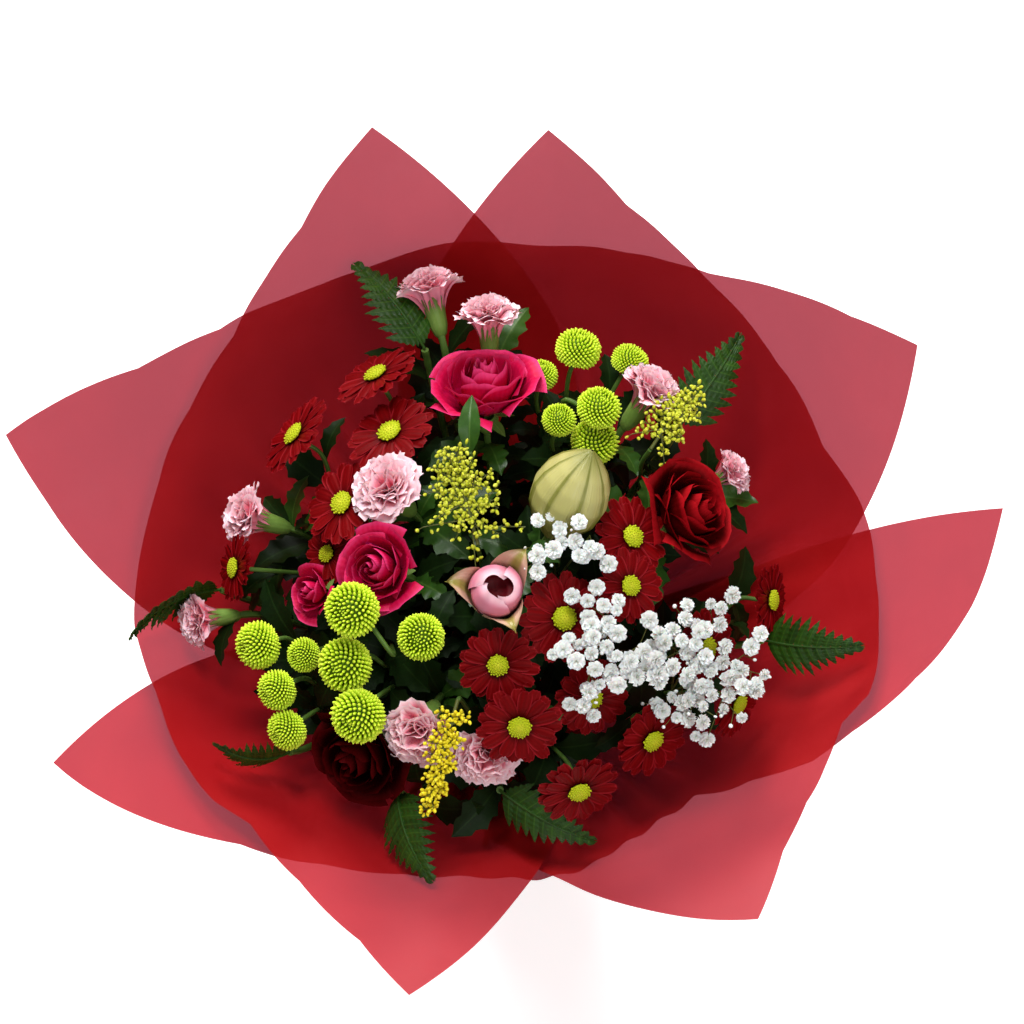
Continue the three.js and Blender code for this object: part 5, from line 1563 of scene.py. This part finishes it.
# Stems, calyxes and discs
def add_sepals(shape, head):
    """Five sepals that spread under a rose."""
    v, u = petal_grid(8, 5)
    size = head.radius
    for k in range(5):
        y = u * 0.10 * size * np.sin(np.minimum(v * 2.6 + 0.5, math.pi - 0.02))
        z = size * (-0.66 - 0.14 * v ** 1.4) + 0.08 * np.abs(y)
        shape.on(head, swung(size * (0.14 + 0.38 * v), y, z, 2 * math.pi * (k + 0.3) / 5), 0.55)


def add_calyx(shape, head):
    """The green cup under a bloom. A daisy's is in millimetres, the others' in shares of the radius."""
    if head.kind == "rose":
        rows = turned(ROSE_CALYX, 20) * head.radius - vec(0, 0, SEAT_GAP)
        shape.on(head, rows, 0.5, ring=True)
        add_sepals(shape, head)
    if head.kind == "carnation":
        rows = turned(CARNATION_CALYX, 24, 10, 0.03) * head.radius - vec(0, 0, SEAT_GAP)
        shape.on(head, rows, 0.55, ring=True)
    if head.kind == "daisy":
        shape.on(head, turned(DAISY_CALYX, 20, 10, 0.05), 0.5, ring=True)


def add_stem_leaf(shape, leaf, rng, rows, columns):
    """A lobed leaf with a pinched midrib."""
    v, u = petal_grid(rows, columns)
    lobes = 1 + 0.16 * np.sin(v * 26) + 0.05 * np.sin(v * 71)
    half = np.interp(v, [0, 0.08, 0.28, 0.58, 0.85, 1.0], [0.05, 0.14, 0.46, 0.48, 0.26, 0.01])
    x = u * half * lobes * leaf.width
    y = v * leaf.length + np.abs(x) * 0.25
    ripple = 0.5 * np.sin(v * 26 + np.abs(u) * 2) * np.abs(u) * smooth(0.1, 0.3, v)
    lift = arch(LEAF_ARCH, v) + 0.18 * np.abs(x) + ripple
    shape.grid(leaf.rows(x, y, lift), 0.4 + rng.uniform(-0.2, 0.25))


def build_stem_leaves():
    rng = random.Random(77)
    for name, finish, leaves, rows, columns in [
        ("stem_leaves", "leaf", stem_leaves(), 26, 9),
        ("undergrowth", "underleaf", undergrowth(), 14, 5),
    ]:
        shape = Shape()
        for leaf in leaves:
            add_stem_leaf(shape, leaf, rng, rows, columns)
        shape.piece(name, finish, "stems")


def build_stems():
    rng = random.Random(7)
    stems = Shape()
    for (_, members, end, _), route in zip(targets, stem_routes):
        line = smooth_path(route, 64)
        line = line[line[:, 2] > 0.0]
        foot = lerp(line[0], line[1], (FOOT_HEIGHT - line[0][2]) / (line[1][2] - line[0][2]))
        line = np.vstack([foot, line])
        wobble = 1 + 0.05 * np.sin(np.arange(len(line)) * 0.9 + rng.uniform(0, 6))
        width = STEM_RADIUS * rng.uniform(0.86, 1.0)
        tube(stems, line, width * wobble, 10, rng.uniform(0.25, 0.75))
        if len(members) > 1 and members[0].kind != "pompon":
            for head in members:
                tube(stems, smooth_path(spray_twig(end, head), 20), TWIG_RADIUS, 8, rng.uniform(0.35, 0.8))
    for item in [*LEAVES, *SOLIDAGO, *GYPSOPHILA]:
        tube(stems, smooth_path(side_shoot_route(starts[item[0]]), 20), TWIG_RADIUS)
    calyxes = Shape()
    discs = Shape()
    for head in heads:
        add_calyx(calyxes, head)
        if head.kind == "daisy":
            add_disc(discs, head, rng)
    stems.piece("green_stems", "stem", "stems")
    calyxes.piece("calyxes", "calyx", "stems")
    discs.piece("daisy_discs", "disc", "stems")


def build_pompon_spray(number):
    name = f"pompon_spray_{number}"
    florets = Shape()
    twigs = Shape()
    end = next(target[2] for target in targets if target[0] == f"pompon_{number}")
    for head in heads:
        if head.kind == "pompon" and head.spray == number:
            add_pompon(florets, head)
            tube(twigs, smooth_path(pompon_twig(end, head), 20), 1.3, 8, 0.6)
    florets.piece(f"{name}_heads", "lime", name)
    twigs.piece(f"{name}_twigs", "stem", name)


# Wrapper film
def on_film(pixel):
    def is_out(p):
        return p[2] < FILM_TOP and math.hypot(p[0], p[1]) > film_radius(math.atan2(p[1], p[0]), p[2])

    ray = view_ray(pixel)
    return EYE + ray * first_hit(ray, is_out)


def sheet_edge(edge):
    spots = np.array([on_film(pixel) for pixel in edge])
    phi = np.unwrap(np.arctan2(spots[:, 1], spots[:, 0]))
    return phi, spots[:, 2]


def pleat(phi, z):
    """Gathers that run up from the tie and fade toward the rim."""
    above = z - TIE_HEIGHT
    rise = smooth(6, 60, above) + smooth(6, 50, -above)
    fade = 0.18 + 0.82 * np.exp(-np.maximum(0, above - 60) / 70)
    fold = np.sin(phi * 13 + 1.3 * np.sin(phi * 3)) + 0.6 * np.sin(phi * 29 + 2 * np.sin(phi * 5 + 1))
    crimp = np.exp(-((above - CRIMP_RISE) / CRIMP_SPREAD) ** 2) * np.sin(phi * 41 + 2 * np.sin(phi * 5))
    return PLEAT_DEPTH * rise * fade * fold + CRIMP_DEPTH * crimp


def build_sheet(name, neck_degrees, edge, layer):
    phi_edge, z_edge = sheet_edge(edge)
    neck = np.radians(neck_degrees)
    neck = neck + round((phi_edge[0] - neck[0]) / (2 * math.pi)) * 2 * math.pi
    share = np.linspace(0, 1, SHEET_COLUMNS)
    knots = np.linspace(0, 1, len(phi_edge))
    phi_rim = np.interp(share, knots, phi_edge)
    z_rim = np.interp(share, knots, z_edge)
    neck_phi = lerp(neck[0], neck[1], share)
    rows = []
    for level in np.concatenate([np.linspace(-1, 0, TAIL_ROWS)[:-1], np.linspace(0, 1, SHEET_ROWS)]):
        up = max(level, 0.0)
        down = max(-level, 0.0)
        z = TIE_HEIGHT + (z_rim - TIE_HEIGHT) * up - (TIE_HEIGHT - TAIL_HEIGHT) * down
        phi = lerp(neck_phi, phi_rim, up)
        pitch = lerp(NECK_PITCH, RIM_PITCH, min(1, up * 2.2)) + 1.2 * down
        ripple = RIM_RIPPLE * up ** 3 * np.sin(share * 31 + layer * 2)
        offset = FILM / 2 + layer * pitch + pleat(phi, z) * (0.55 + 0.45 * up) + ripple
        rows.append(film_point(phi, z, offset))
    shape = Shape()
    shape.grid(rows)
    return shape.piece(f"{name}_film", "film", name)


def build_tie():
    """Turns of a two-strand twine round the neck."""
    centre_r = NECK_RADIUS + 3 * NECK_PITCH + FILM + TIE_ROOM + 2 * STRAND_RADIUS
    angles = np.linspace(0, 2 * math.pi * TWINE_TURNS, 60 * TWINE_TURNS)
    height = np.linspace(-TWINE_HALF_HEIGHT, TWINE_HALF_HEIGHT, len(angles))
    widening = np.where(height > 0, 0.95 * height + 0.4, -0.46 * height + 0.1)
    shape = Shape()
    for strand in (0, math.pi):
        twist = angles * 11 + strand
        r = centre_r + widening + STRAND_OFFSET * np.cos(twist)
        tube(shape, around(r, angles, TIE_HEIGHT + height + STRAND_OFFSET * np.sin(twist)), STRAND_RADIUS)
    return shape.piece("tie_twine", "twine", "tie")


BLOOM_BUILDERS = {
    "rose": build_rose,
    "carnation": build_carnation,
    "daisy": build_daisy,
    "lily_bud_closed": build_lily_closed,
    "lily_bud_opening": build_lily_opening,
}
for head in heads:
    if head.kind != "pompon":
        BLOOM_BUILDERS[head.name if head.kind == "lily" else head.kind](head)
for number in (1, 2, 3):
    build_pompon_spray(number)
for build, items, seed in [
    (build_gypsophila, GYPSOPHILA, GYPSOPHILA_SEED),
    (build_solidago, SOLIDAGO, 600),
    (build_fern, FERNS, 700),
]:
    for index, item in enumerate(items):
        build(item, seed + index)
for item in LEAVES:
    build_leaf(item)
build_stems()
build_stem_leaves()
films = [build_sheet(name, degrees, edge, layer) for layer, (name, degrees, edge) in enumerate(SHEETS)]
twine = build_tie()


# Floor, light and camera
SENSOR_WIDTH = 36
WORLD_STRENGTH = 0.32

# Lights: name, place, target and size in metres, power in watts
LIGHTS = [
    ("key", (-0.25, 0.70, 2.8), (0, 0, 0.2), 1.0, 47),
    ("rear", (-0.45, 1.9, 1.5), (0, 0, 0.3), 1.0, 46),
    ("fill", (0.9, -1.3, 1.9), (0, 0, 0.3), 1.6, 17),
]


def build_floor():
    size = 6.0
    mesh = bpy.data.meshes.new("floor")
    corners = [(-size, -size, 0), (size, -size, 0), (size, size, 0), (-size, size, 0)]
    mesh.from_pydata(corners, [], [(0, 1, 2, 3)])
    mesh.materials.append(floor_finish())
    floor = bpy.data.objects.new("floor", mesh)
    bpy.context.scene.collection.objects.link(floor)


def area_light(name, place, target, size, power):
    data = bpy.data.lights.new(name, "AREA")
    data.shape = "DISK"
    data.size = size
    data.energy = power
    light = bpy.data.objects.new(name, data)
    bpy.context.scene.collection.objects.link(light)
    light.location = place
    light.rotation_euler = (Vector(target) - Vector(place)).to_track_quat("-Z", "Y").to_euler()


def set_world():
    """A white studio that lights the bunch evenly and weakly."""
    world = bpy.data.worlds.new("studio")
    world.use_nodes = True
    background = world.node_tree.nodes["Background"]
    background.inputs["Color"].default_value = (1.0, 1.0, 1.0, 1.0)
    background.inputs["Strength"].default_value = WORLD_STRENGTH
    bpy.context.scene.world = world


def set_camera():
    data = bpy.data.cameras.new("camera")
    data.sensor_width = SENSOR_WIDTH
    data.sensor_height = SENSOR_WIDTH
    data.sensor_fit = "HORIZONTAL"
    data.lens = SENSOR_WIDTH * VIEW_DISTANCE / (PICTURE_SIZE * MM_PER_PIXEL)
    camera = bpy.data.objects.new("camera", data)
    bpy.context.scene.collection.objects.link(camera)
    camera.location = Vector((EYE + AXIS_SHIFT) * MM)
    camera.rotation_euler = (math.pi / 2 - VIEW_ELEVATION, 0, 0)
    bpy.context.scene.camera = camera


build_floor()
set_world()
for light in LIGHTS:
    area_light(*light)
set_camera()
bpy.context.scene.view_settings.view_transform = "Standard"
